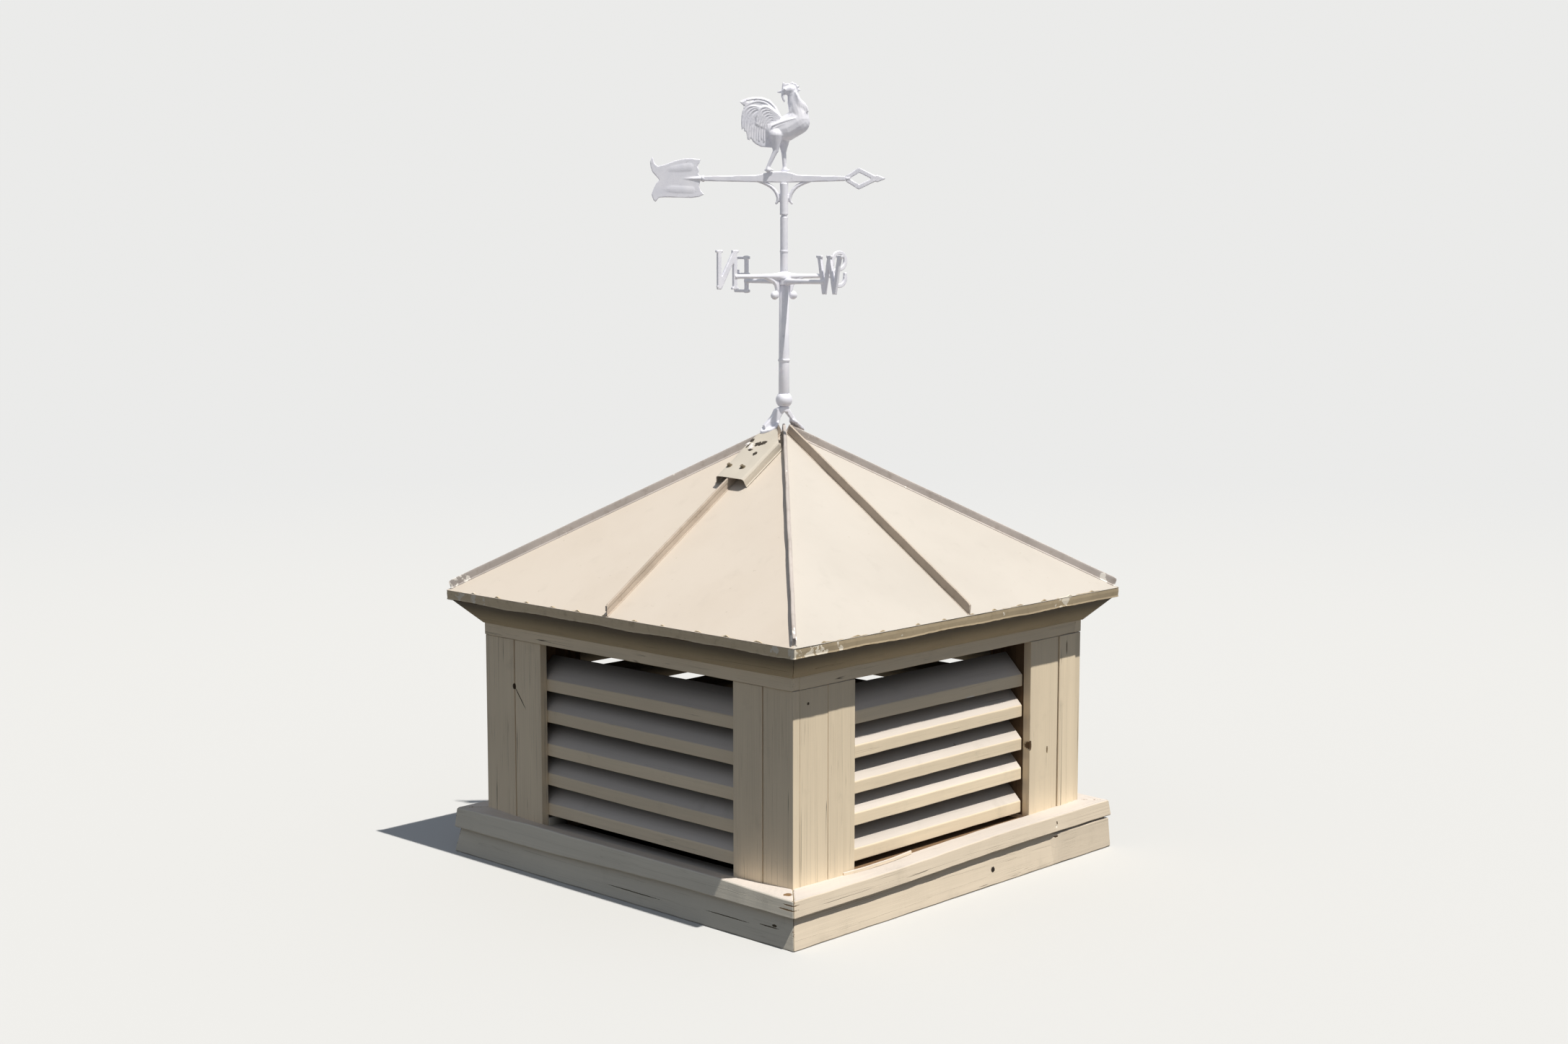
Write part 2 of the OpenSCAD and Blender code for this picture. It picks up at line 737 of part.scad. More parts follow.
module rooster() {
    flat = rooster_t / (0.28 * rooster_h);
    tail = [[-0.02, 0.36], [-0.16, 0.31], [-0.26, 0.32], [-0.34, 0.37], [-0.4, 0.36], [-0.41, 0.43], [-0.47, 0.45],
            [-0.46, 0.52], [-0.51, 0.56], [-0.485, 0.64], [-0.5, 0.71], [-0.46, 0.76], [-0.48, 0.79], [-0.32, 0.815],
            [-0.2, 0.825], [-0.13, 0.79], [-0.09, 0.7], [-0.06, 0.62], [0.02, 0.58]];
    comb = [[-0.05, 0.9], [-0.035, 0.995], [-0.01, 0.975], [0.03, 0.99], [0.065, 1], [0.1, 0.98], [0.12, 0.955],
            [0.15, 0.95], [0.13, 0.92], [0.165, 0.9], [0.12, 0.86]];
    wattle = [[-0.065, 0.88], [-0.05, 0.82], [-0.03, 0.76], [-0.01, 0.78], [0.01, 0.86]];
    color(cast) rotate(arrow_turn) translate([0, 0, mound_z]) {
        hull() {
            lump(0.14, 0.56, 0.14, flat);
            lump(-0.02, 0.47, 0.14, flat);
            lump(-0.14, 0.45, 0.11, flat);
        }
        hull() {
            lump(0.125, 0.64, 0.115, flat * 0.8);
            lump(0.075, 0.86, 0.065, 1);
        }
        hull() {
            lump(0.05, 0.89, 0.065, 1);
            lump(-0.01, 0.9, 0.045, 1);
            lump(-0.09, 0.88, 0.012, 1);
        }
        plate(tail, rooster_t * 0.4);
        plate(comb, rooster_t * 0.2);
        plate(wattle, rooster_t * 0.3);
        for (leg = [[-0.01, -0.01, 0.2], [-0.11, -0.155, -0.2]]) {
            hull() {
                lump(leg[0], 0.36, 0.06, 0.8, leg[2]);
                lump(leg[0], 0.22, 0.028, 1, leg[2]);
            }
            hull() {
                lump(leg[0], 0.22, 0.024, 1, leg[2]);
                lump(leg[1], 0.03, 0.02, 1, leg[2]);
            }
            translate([leg[1] * rooster_h, leg[2] * rooster_t, 0])
                cylinder(h = 0.03 * rooster_h, r = 0.04 * rooster_h, $fn = 32);
        }
    }
}

skirt(front);  // skirt_front
skirt(right);  // skirt_right
skirt(back);  // skirt_back
skirt(left);  // skirt_left
sill(front);  // sill_front
sill(right);  // sill_right
sill(back);  // sill_back
sill(left);  // sill_left
boards(front);  // boards_front
boards(right);  // boards_right
boards(back);  // boards_back
boards(left);  // boards_left
louvers(front);  // louvers_front
louvers(right);  // louvers_right
louvers(back);  // louvers_back
louvers(left);  // louvers_left
frieze(front);  // frieze_front
frieze(right);  // frieze_right
frieze(back);  // frieze_back
frieze(left);  // frieze_left
crown(front);  // crown_front
crown(right);  // crown_right
crown(back);  // crown_back
crown(left);  // crown_left
roof_sheet(front);  // roof_sheet_front
roof_sheet(right);  // roof_sheet_right
roof_sheet(back);  // roof_sheet_back
roof_sheet(left);  // roof_sheet_left
wall_posts();
top_plates();
roof_deck();
drip_edges();
hip_ribs();
mid_ribs();
vane_stand();
vane_ball();
vane_rod();
vane_spindle();
compass_north_south();
compass_east_west();
vane_sleeve();
arrow_shaft();
arrow_tail();
arrow_point();
rooster();
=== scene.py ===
"""Garage cupola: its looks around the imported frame. +Z is up, -Y the sunlit front, -X the left face in view.
Shapes are drawn in millimetres and scaled to metres when they are placed."""

import math
import random

import bmesh
import bpy
from mathutils import Matrix, Vector, noise


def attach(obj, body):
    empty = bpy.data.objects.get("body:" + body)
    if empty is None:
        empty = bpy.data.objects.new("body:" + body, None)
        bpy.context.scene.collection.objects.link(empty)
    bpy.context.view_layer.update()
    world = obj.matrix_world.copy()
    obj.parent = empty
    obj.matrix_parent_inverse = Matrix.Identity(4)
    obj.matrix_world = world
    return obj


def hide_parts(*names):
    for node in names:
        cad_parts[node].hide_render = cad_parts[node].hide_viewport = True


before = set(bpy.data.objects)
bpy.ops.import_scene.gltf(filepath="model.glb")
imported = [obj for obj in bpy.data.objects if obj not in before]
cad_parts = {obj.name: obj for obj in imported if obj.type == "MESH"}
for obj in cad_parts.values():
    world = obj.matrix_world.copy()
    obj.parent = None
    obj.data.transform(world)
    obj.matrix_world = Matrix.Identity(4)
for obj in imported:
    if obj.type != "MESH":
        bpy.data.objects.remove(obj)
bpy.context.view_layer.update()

# The view. The camera stands where the photograph's did, a little over the eaves and in front of the near
# corner, and is turned and zoomed to the cupola.
MM = 0.001
camera_place = Vector((-3383.8, -3215.5, 1296.6)) * MM
camera_aim_down = math.radians(7.0)
camera_heading = math.atan2(-camera_place.x, -camera_place.y)
camera_data = bpy.data.cameras.new("camera")
camera_data.lens = 50.0
camera_data.sensor_width = 36.0
camera_data.clip_end = 100.0
camera = bpy.data.objects.new("camera", camera_data)
camera.location = camera_place
camera.rotation_euler = (math.pi / 2 - camera_aim_down, 0, -camera_heading)
bpy.context.scene.collection.objects.link(camera)
bpy.context.scene.camera = camera


# Floor, sky and sun. Floor and backdrop are one pale sweep; under the hollow box the floor is painted
# dark, a painted shade for the box's inside. The sun stands high over the front and the left face is in
# open shade.
def linear(red, green, blue):
    """A colour given as a screen shows it, 0 to 255, for a shader."""
    shares = [min(255, c) / 255 for c in (red, green, blue)]
    return (*[c / 12.92 if c <= 0.04045 else ((c + 0.055) / 1.055) ** 2.4 for c in shares], 1.0)


def shaded(colour, factor):
    """A screen colour made lighter or darker."""
    return tuple(factor * c for c in colour)


class Wire:
    """An output of a shader node. Arithmetic on it adds Math nodes."""

    def __init__(self, finish, socket):
        self.finish = finish
        self.socket = socket

    def maths(self, operation, *values):
        return self.finish.node("Math", {"operation": operation}, dict(enumerate(values)))

    def __add__(self, other):
        return self.maths("ADD", self, other)

    def __sub__(self, other):
        return self.maths("SUBTRACT", self, other)

    def __rsub__(self, other):
        return self.maths("SUBTRACT", other, self)

    def __mul__(self, other):
        return self.maths("MULTIPLY", self, other)

    def __abs__(self):
        return self.maths("ABSOLUTE", self)

    __radd__ = __add__
    __rmul__ = __mul__

    def larger(self, other):
        return self.maths("MAXIMUM", self, other)

    def step(self, low, high):
        """0 below low, 1 above high, smooth between."""
        return self.finish.node(
            "MapRange",
            {"interpolation_type": "SMOOTHSTEP"},
            {"Value": self, "From Min": low, "From Max": high, "To Min": 0.0, "To Max": 1.0},
        )

    def part(self, index):
        """One coordinate of a place."""
        return self.finish.node("SeparateXYZ", {}, {0: self}, index)


class Finish:
    """A material or a sky made of nodes."""

    def __init__(self, owner, output="OutputMaterial"):
        self.owner = owner
        self.owner.use_nodes = True
        self.tree = owner.node_tree
        self.tree.nodes.clear()
        self.output = output
        self.place = self.node("TexCoord", {}, {}, "Object")

    def node(self, kind, settings, values, output=0):
        made = self.tree.nodes.new("ShaderNode" + kind)
        for name, value in settings.items():
            setattr(made, name, value)
        for name, value in values.items():
            if isinstance(value, Wire):
                self.tree.links.new(value.socket, made.inputs[name])
            else:
                made.inputs[name].default_value = value
        return Wire(self, made.outputs[output])

    def moved(self, place, shift):
        return self.node("VectorMath", {"operation": "ADD"}, {0: place, 1: shift})

    def stretched(self, place, scale):
        return self.node("VectorMath", {"operation": "MULTIPLY"}, {0: place, 1: scale})

    def reach(self, place):
        """How far a place is from the middle of its coordinates."""
        return self.node("VectorMath", {"operation": "LENGTH"}, {0: place}, 1)

    def noise(self, place, scale, detail=2.0, roughness=0.5, distortion=0.0):
        values = {"Vector": place, "Scale": scale, "Detail": detail, "Roughness": roughness}
        return self.node("TexNoise", {}, {**values, "Distortion": distortion})

    def attribute(self, name):
        return self.node("Attribute", {"attribute_name": name}, {}, "Fac")

    def facing(self):
        """1 where the surface looks up, -1 where it looks down."""
        return self.node("NewGeometry", {}, {}, "Normal").part(2)

    def seen(self):
        """1 where a ray comes straight, mirrored or through glass from the camera."""
        straight, mirrored, through = [
            self.node("LightPath", {}, {}, f"Is {kind} Ray") for kind in ("Camera", "Glossy", "Transmission")
        ]
        return straight.larger(mirrored).larger(through)

    def mix(self, factor, first, second):
        return self.node("Mix", {"data_type": "RGBA"}, {0: factor, 6: first, 7: second}, 2)

    def stained(self, colour, amount, stain):
        """A colour with a screen colour over it, from 0 for none to 1 for all."""
        return self.mix(amount, colour, linear(*stain))

    def bump(self, height, depth, strength=1.0):
        return self.node("Bump", {}, {"Height": height, "Distance": depth, "Strength": strength}, "Normal")

    def surface(self, colour, roughness, normal, metallic=0.0, specular=0.5):
        look = {"Base Color": colour, "Roughness": roughness, "Normal": normal}
        look.update({"Metallic": metallic, "Specular IOR Level": specular})
        self.end(self.node("BsdfPrincipled", {}, look))
        return self.owner

    def end(self, shader):
        made = self.tree.nodes.new("ShaderNode" + self.output)
        self.tree.links.new(shader.socket, made.inputs["Surface"])


def paint_of(name):
    return Finish(bpy.data.materials.new(name))


def show(name, mesh, material):
    """An object of this mesh at the origin, with this material."""
    piece = bpy.data.objects.new(name, mesh)
    bpy.context.scene.collection.objects.link(piece)
    piece.data.materials.clear()
    piece.data.materials.append(material)
    return piece


def mesh_of(shape, name):
    """A mesh from a bmesh, which is used up."""
    mesh = bpy.data.meshes.new(name)
    shape.to_mesh(mesh)
    shape.free()
    return mesh


def finished(shape, name):
    """A mesh from a bmesh, with its faces turned outwards."""
    bmesh.ops.recalc_face_normals(shape, faces=shape.faces)
    return mesh_of(shape, name)


pale = (0.83, 0.83, 0.82, 1.0)
floor_to_camera = (0.56, 0.56, 0.555, 1.0)
floor_to_light = (0.075, 0.073, 0.070, 1.0)
painted_shade_in_hollow = (0.012, 0.010, 0.008, 1.0)
hollow_edge = (0.455, 0.470)
haze_reach = (2.2, 9.0)
floor_shape = bmesh.new()
bmesh.ops.create_circle(floor_shape, cap_ends=True, segments=96, radius=60.0)
floor_finish = paint_of("pale_floor")
watched = floor_finish.seen()
floor_colour = floor_finish.mix(watched, floor_to_light, floor_to_camera)
floor_aside = [abs(floor_finish.place.part(axis)) for axis in (0, 1)]
# Painted shade: inside the box's foot the floor is painted nearly black, standing in for the dark hollow.
under_box = 1.0 - floor_aside[0].larger(floor_aside[1]).step(*hollow_edge)
floor_colour = floor_finish.mix(under_box, floor_colour, painted_shade_in_hollow)
floor_look = {"Base Color": floor_colour, "Roughness": 0.95, "Specular IOR Level": 0.1}
floor_body = floor_finish.node("BsdfPrincipled", {}, floor_look)
haze = floor_finish.node("Emission", {}, {"Color": pale, "Strength": 1.0})
far_off = floor_finish.reach(floor_finish.place).step(*haze_reach)
floor_finish.end(floor_finish.node("MixShader", {}, {0: far_off * watched, 1: floor_body, 2: haze}))
floor = show("floor", finished(floor_shape, "floor"), floor_finish.owner)

sky = Finish(bpy.data.worlds.new("sky"), "OutputWorld")
open_sky = sky.node("Background", {}, {"Color": (0.84, 0.95, 1.12, 1.0), "Strength": 0.28})
backdrop = sky.node("Background", {}, {"Color": pale, "Strength": 1.0})
sky.end(sky.node("MixShader", {}, {0: sky.seen(), 1: open_sky, 2: backdrop}))
bpy.context.scene.world = sky.owner

sun_data = bpy.data.lights.new("sun", "SUN")
sun_data.energy = 4.55
sun_data.color = (1.0, 0.965, 0.90)
sun_data.angle = math.radians(0.7)
sun = bpy.data.objects.new("sun", sun_data)
sun.location = (0.25, -4.4, 10.0)
sun.rotation_euler = sun.location.to_track_quat("Z", "Y").to_euler()
bpy.context.scene.collection.objects.link(sun)
bpy.context.scene.view_settings.view_transform = "Standard"


# Painted boards: softwood, sawn, butted or mitred, face-nailed and painted beige long ago. The chalky
# paint shows the grain, is split along it and is worn off the arrises. Tops are painted greyer and darker,
# partly weathering and partly painted shade against the sun; undersides get painted shade, and insides
# painted shade with some grime.
BOARD_PAINT = (243, 225, 196)
BASE_PAINT = (232, 216, 193)
# Painted shade: a bluer, greyer copy of the base paint for the left and right faces, for the cool light in
# shade.
BASE_PAINT_BLUED_FOR_SHADE = (230, 222, 205)
# Painted shade, partly weathering: the greyer, darker paint of faces that look up, kept down under the sun.
TOP_PAINT_WEATHERED_AND_SUN_DIMMED = (207, 198, 190)
# Painted shade: the darker paint of faces that look down.
UNDERSIDE_PAINTED_SHADE = (196, 178, 146)
BARE_WOOD = (160, 146, 122)
END_GRAIN = (124, 98, 72)
GREY_FILM = (118, 112, 92)
HAIRLINE = (96, 84, 62)
SPLIT = (58, 50, 38)
# Painted shade with some grime: the dark paint deep in recesses and behind the slats.
GRIME_AND_PAINTED_SHADE = (54, 50, 46)
wall_face = 457.0
board_t = 19.0
inner = wall_face - board_t
slat_run = 45.0
mitre_gap = 0.4


def painted_wood(name, grain, paint, flaws=(), split=0.85):
    """Painted wood with its grain along axis 0, 1 or 2. flaws holds (place in mm, size along each axis,
    colour) and perhaps a turn about each axis; split says how strongly splits show."""
    finish = paint_of(name)
    board = finish.attribute("board")
    shift = finish.node("CombineXYZ", {}, {0: board * 7.31, 1: board * 3.17, 2: board * 5.73})
    place = finish.moved(finish.place, shift)
    along = [1.0, 1.0, 1.0]
    along[grain] = 0.035
    grained = finish.stretched(place, tuple(along))
    rings = finish.noise(grained, 34.0, 3.0, 0.55, 0.3)
    fibres = finish.noise(grained, 210.0, 4.0, 0.6)
    along[grain] = 0.009
    long_grain = finish.stretched(place, tuple(along))
    splits = finish.noise(long_grain, 64.0, 1.0, 0.4)
    hairs = finish.noise(long_grain, 230.0, 1.0, 0.5)
    patches = finish.noise(place, 5.0, 2.0, 0.5)
    grime = finish.noise(place, 13.0, 5.0, 0.65)
    crack = (1.0 - abs(splits - 0.5).step(0.0, 0.0045)) * patches.step(0.50, 0.60)
    hair = (1.0 - abs(hairs - 0.5).step(0.0, 0.016)) * (1.0 - patches.step(0.40, 0.58))
    worn = finish.attribute("worn")
    chips = finish.noise(finish.stretched(place, tuple(0.3 + 0.7 * a for a in along)), 120.0, 4.0, 0.65)
    chipped = worn * chips.step(0.56, 0.62)
    flakes = finish.noise(grained, 90.0, 5.0, 0.7).step(0.70, 0.74) * patches.step(0.5, 0.6)
    tone = (rings * 0.16 + fibres * 0.12 + board * 0.10 + patches * 0.10).step(0.10, 0.42)
    facing = finish.facing()
    colour = finish.mix(tone, linear(*shaded(paint, 0.935)), linear(*shaded(paint, 1.035)))
    # Faces that look up take the greyer, darker top paint, partly painted shade.
    dimmed_tops = finish.mix(tone, linear(*shaded(TOP_PAINT_WEATHERED_AND_SUN_DIMMED, 0.95)), linear(*shaded(TOP_PAINT_WEATHERED_AND_SUN_DIMMED, 1.04)))
    colour = finish.mix(facing.step(0.45, 0.75), colour, dimmed_tops)
    # Painted shade on faces that look down.
    colour = finish.stained(colour, (0.0 - facing).step(0.2, 0.7), UNDERSIDE_PAINTED_SHADE)
    colour = finish.stained(colour, grime.step(0.55, 0.85) * 0.22, GREY_FILM)
    # Painted shade, with some grime, by the inward share: recesses, the slats' backs and the crown's top go
    # dark.
    colour = finish.stained(colour, finish.attribute("inward").step(0.05, 1.0) * 0.85, GRIME_AND_PAINTED_SHADE)
    colour = finish.stained(colour, hair * (0.35 * split), HAIRLINE)
    colour = finish.stained(colour, crack * split, SPLIT)
    colour = finish.stained(colour, (chipped + flakes * 0.5).step(0.0, 1.0), BARE_WOOD)
    colour = finish.stained(colour, (finish.attribute("raw") + chips - 1.0).step(0.55, 0.62), END_GRAIN)
    height = rings * 0.5 + fibres * 0.35 - crack * (1.9 * split) - hair * (0.6 * split) - chipped * 0.5
    rough = finish.noise(finish.place, 260.0, 3.0, 0.6) * 0.9
    for middle, size, stain, *turn in flaws:
        away = finish.moved(finish.place, tuple(-c * MM for c in middle))
        if turn:
            angles = tuple(math.radians(a) for a in turn[0])
            values = {"Vector": away, "Rotation": angles}
            away = finish.node("VectorRotate", {"rotation_type": "EULER_XYZ"}, values)
        away = finish.reach(finish.stretched(away, tuple(1 / (s * MM) for s in size)))
        flaw = 1.0 - (away + rough).step(1.25, 1.55)
        colour = finish.stained(colour, flaw, stain)
        height = height - flaw * 2.0
    return finish.surface(colour, 0.78 + fibres * 0.14, finish.bump(height, 0.0011, 0.55), specular=0.3)


LEVEL_WOOD = (
    painted_wood("painted_wood_across", 0, BOARD_PAINT),
    painted_wood("painted_wood_deep", 1, BOARD_PAINT),
)
SIDES = ("front", "right", "back", "left")


def ramp(value, low, high):
    """0 below low, 1 above high, smooth between."""
    share = min(1.0, max(0.0, (value - low) / (high - low)))
    return share * share * (3 - 2 * share)


def pulled(shape, ring, way):
    """Makes a face of a ring of vertices, draws it out along a way and gives the vertices at its far end."""
    grown = bmesh.ops.extrude_face_region(shape, geom=[shape.faces.new(ring)])
    far = [v for v in grown["geom"] if isinstance(v, bmesh.types.BMVert)]
    bmesh.ops.translate(shape, verts=far, vec=way)
    return far


def join(whole, part):
    """Adds a bmesh, which is used up, to another."""
    mesh = mesh_of(part, "part")
    whole.from_mesh(mesh)
    bpy.data.meshes.remove(mesh)


def turn_to(shape, side):
    """Turns a shape that is drawn in mm for the front to its own side, in metres."""
    shape.transform(Matrix.Rotation(side * math.pi / 2, 4, "Z") @ Matrix.Scale(MM, 4))


def fit(name, mesh, material, body, node):
    """A piece that rides on a body, stands for a CAD node and has this material."""
    piece = show(name, mesh, material)
    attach(piece, body)
    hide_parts(node)


# noise_vector starts from the clock unless it gets a seed, so that the boards come out the same each run.
noise.seed_set(7)


class Timbers:
    """A group of boards on one side, drawn for the front side and turned to the side at the end."""

    def __init__(self, seed):
        self.shape = bmesh.new()
        self.draw = random.Random(seed)

    def board_of(
        self, profile, start, end, mitre=(False, False), arris=1.8, wobble=0.45, cut=24.0, bend=None, raw=0.0,
        dirt_and_painted_shade=None,
    ):
        """A board along the side. profile holds (distance from the axis, height) in mm; a mitred end follows
        the diagonal; bend gives the new place of (along, distance, height); raw 1 wears the mitres, 2 the
        whole board; the last argument gives the painted shade at a height, in place of shade deepening inward."""
        shape = bmesh.new()
        near = [shape.verts.new((start, -h, z)) for h, z in profile]
        far = pulled(shape, near, (end - start, 0, 0))
        for ends, mitred, sign in ((near, mitre[0], -1), (far, mitre[1], 1)):
            for v in ends:
                if mitred:
                    v.co.x = sign * (-v.co.y - mitre_gap)
        bevelled = bmesh.ops.bevel(
            shape, geom=shape.edges[:], offset=arris, segments=2, profile=0.5, affect="EDGES", material=-1
        )
        worn = set(bevelled["faces"])
        layers = {name: shape.faces.layers.float.new(name) for name in ("board", "worn", "raw")}
        tint = self.draw.random()
        for face in shape.faces:
            middle = face.calc_center_median()
            at_start = mitre[0] and abs(middle.x - middle.y) < arris * 2
            at_end = mitre[1] and abs(middle.x + middle.y) < arris * 2
            face[layers["board"]] = tint
            face[layers["worn"]] = 1.0 if face in worn else 0.0
            face[layers["raw"]] = raw if at_start or at_end or raw > 1 else 0.0
        length = abs(end - start)
        runs = [e for e in shape.edges if abs(e.verts[0].co.x - e.verts[1].co.x) > 0.5 * length]
        bmesh.ops.subdivide_edges(shape, edges=runs, cuts=max(1, int(length / cut)), use_grid_fill=True)
        # The inward share sets how much painted shade a place gets: deeper behind the wall's face, or as the
        # height rule gives.
        inward = shape.verts.layers.float.new("inward")
        offset = Vector([self.draw.uniform(0, 90) for axis in range(3)])
        for v in shape.verts:
            shade_share = dirt_and_painted_shade(v.co.z) if dirt_and_painted_shade else (inner + v.co.y) / slat_run
            v[inward] = min(1.1, max(0.0, shade_share))
            if bend:
                along, out, high = bend(v.co.x, -v.co.y, v.co.z)
                v.co = Vector((along, -out, high))
            v.co += noise.noise_vector(v.co * 0.021 + offset) * wobble
            v.co.z = max(0.0, v.co.z)
        bmesh.ops.recalc_face_normals(shape, faces=shape.faces)
        join(self.shape, shape)

    def done(self, name, side, material, node):
        turn_to(self.shape, side)
        fit(name, mesh_of(self.shape, name), material, "cupola", node)


# Skirt: four 2x boards on edge, leaning in a little, mitred at the corners, their tops set back under the
# sill. The front one stands out flush with the sill at its right end, where it has split.
skirt_h = 64.0
skirt_top = skirt_h - 1
skirt_foot = 510.5
skirt_lean = 10.5
skirt_t = 37.5
base_half = 510
split_end = (296, 318)
split_proud = 7.5
base_flaws = (
    ((96, -505, 32), (6, 20, 6), (26, 18, 12)),
    ((313.6, -509, 90), (2.2, 20, 3.4), (70, 54, 36)),
    ((310.5, -509, 83), (3.2, 20, 2.6), (252, 244, 226)),
    ((313, -507, 60), (7, 20, 2.2), (60, 44, 28)),
    ((-506, -454, 38), (20, 6, 2.6), (62, 54, 42)),
    ((-506, -440, 34), (20, 26, 1.1), (84, 76, 60)),
    ((-508, -330, 30), (20, 60, 1.0), (84, 76, 60)),
    ((-508, -60, 24), (20, 80, 1.0), (84, 76, 60)),
    ((-484, -470, 99), (9, 10, 5), (128, 100, 70)),
    ((-507, -490, 78), (20, 22, 1.5), (120, 96, 68)),
    ((-507, -496, 87), (20, 16, 1.3), (120, 96, 68)),
)
base_wood = (
    painted_wood("painted_base_across", 0, BASE_PAINT, base_flaws, 0.6),
    # The left and right skirt and sill take the bluer copy, painted shade.
    painted_wood("painted_base_deep_blued_for_shade", 1, BASE_PAINT_BLUED_FOR_SHADE, base_flaws, 0.5),
)
# Heights at each side's first corner, from the near one round: the sill's underside, outer arris and wall
# foot.
SILL_CORNERS = ((62.5, 96.5, 99.4), (70.5, 105.0, 106.5), (64.0, 99.6, 101.0), (54.0, 97.5, 99.0))
SILL_BOWS = ((0.0, 0.0, -3.0), (0.0, 6.0, -8.0))


def sill_heights(side, x):
    """The sill's underside, outer arris and foot of the wall, x along a side."""
    share = ramp(x, -310, 210)
    bow = 1 - ramp(abs(x), 260, 500)
    first, last = SILL_CORNERS[side], SILL_CORNERS[(side + 1) % 4]
    return [a + (b - a) * share + bow * c for a, b, c in zip(first, last, SILL_BOWS[side % 2])]


def fit_skirt(side, x, h, z):
    """A point of a straight skirt board, moved up to the sill and out at the split end."""
    top = sill_heights(side, x)[0] - 1.0
    proud = split_proud * ramp(x, *split_end) if side == 0 else 0.0
    share = z / skirt_h
    sunk = 2.5 * (proud > 4)
    return x + 0.6 * share * proud * (x / base_half), h + share * proud, z * (top - sunk) / skirt_top


skirt_inside = skirt_foot - skirt_t
skirt_profile = [
    (skirt_foot, 0), (skirt_foot - skirt_lean, skirt_top), (skirt_inside - skirt_lean, skirt_top),
    (skirt_inside, 0),
]
base_cut = {"mitre": (True, True), "arris": 2.6, "cut": 16.0, "raw": 1.0}
for side, label in enumerate(SIDES):
    timbers = Timbers(11 + side)
    timbers.board_of(
        skirt_profile, -base_half, base_half, wobble=0.9, bend=lambda *at: fit_skirt(side, *at), **base_cut
    )
    timbers.done(f"{label}_skirt_board", side, base_wood[side % 2], f"skirt_{label}")

# Sill: four flat 2x boards in a mitred frame, a little bowed and tipped, cut back to the wall under each
# opening. The studs beside the openings stand on its inner part, and a splinter stands off the front one.
wall_z = 102.0
sill_foot = 453.5
sill_nose = 506
ledge_foot = skirt_h + 0.3
ledge_inside = 387.3
OPENINGS = ((-281, 281), (-277, 298))


def fit_sill(side, x, h, z):
    """A point of a straight sill board, moved to the sill's real heights."""
    low, arris, foot = sill_heights(side, x)
    share = min(1.0, max(0.0, (h - sill_foot) / (sill_nose - sill_foot)))
    nominal = wall_z - 2.4 * share
    top = foot + (arris - foot) * share
    return x, h, low + (z - skirt_h) * (top - low) / (nominal - skirt_h)


def fit_splinter(x, h, z):
    """A point of the straight splinter, bowed out and up."""
    return x, h + 6 * (1 - ((x + 214) / 102) ** 2), z + (x + 316) / 60


sill_profile = [(510.6, skirt_h), (505.8, 99.6), (sill_foot, wall_z), (sill_foot, skirt_h)]
ledge = [(inner - 0.4, ledge_foot), (inner - 0.4, wall_z), (ledge_inside, wall_z), (ledge_inside, ledge_foot)]
splinter = [(461, 96), (460.4, 102), (457.6, 103), (457.3, 96)]
for side, label in enumerate(SIDES):
    timbers = Timbers(21 + side)
    timbers.board_of(
        sill_profile, -base_half, base_half, wobble=0.7, bend=lambda *at: fit_sill(side, *at), **base_cut
    )
    left, right = OPENINGS[side % 2]
    timbers.board_of(ledge, -inner, left, (True, False), wobble=0.2)
    timbers.board_of(ledge, right, inner, (False, True), wobble=0.2)
    strip_z = 95 if side % 2 == 0 else 85
    strip = [(453, 70), (453, strip_z), (400, strip_z), (400, 70)]
    # The front's strip is bare end grain with no painted shade.
    bare = {"raw": 2.0, "dirt_and_painted_shade": lambda z: 0.0} if side % 2 == 0 else {}
    timbers.board_of(strip, left + 1, right - 1, wobble=0.3, **bare)
    if side == 0:
        timbers.board_of(splinter, -316, -112, arris=0.5, wobble=0.6, cut=9.0, bend=fit_splinter)
    timbers.done(f"{label}_sill_board", side, base_wood[side % 2], f"sill_{label}")

# Wall boards: upright 1x boards beside each opening, their feet behind the sill. The left and right faces'
# boards run past the front's and back's, and one front board stands a little proud.
frieze_z = 481.0
foot_z = 84.0
wall_flaws = (
    ((-414, -457, 452), (3.2, 20, 3.2), (64, 54, 40)),
    ((342, -457, 237), (2.6, 20, 8), (126, 104, 76)),
    ((283, -457, 256), (3.6, 20, 11), (92, 72, 50)),
    ((405, -457, 452), (1.6, 20, 16), (96, 80, 60)),
    ((-457, 362.5, 379), (20, 5, 6.5), (66, 54, 40)),
    ((-457, 346, 358.5), (20, 1.5, 30), (84, 74, 58), (39, 0, 0)),
)
wood_upright = painted_wood("painted_wood_upright", 2, BOARD_PAINT, wall_flaws)
WALL_RUNS = (
    ((-437.5, -358.2, 0), (-357.8, -281, 0.8), (281, 377.8, 0), (380.2, 437.5, 2.5)),
    ((-457, -363.0, 1.2), (-360.8, -277, 0), (298, 376.0, 1.0), (378.0, 457, 0)),
)
for side, label in enumerate(SIDES):
    timbers = Timbers(31 + side)
    for start, end, proud in WALL_RUNS[side % 2]:
        face = wall_face + proud - (0.8 if side % 2 else 0)
        head_z = frieze_z - 0.4
        profile = [(face, foot_z), (face, head_z), (inner, head_z), (inner, foot_z)]
        timbers.board_of(profile, start, end, arris=1.2, wobble=0.4, cut=19.0)
    timbers.done(f"{label}_wall_boards", side, wood_upright, f"boards_{label}")

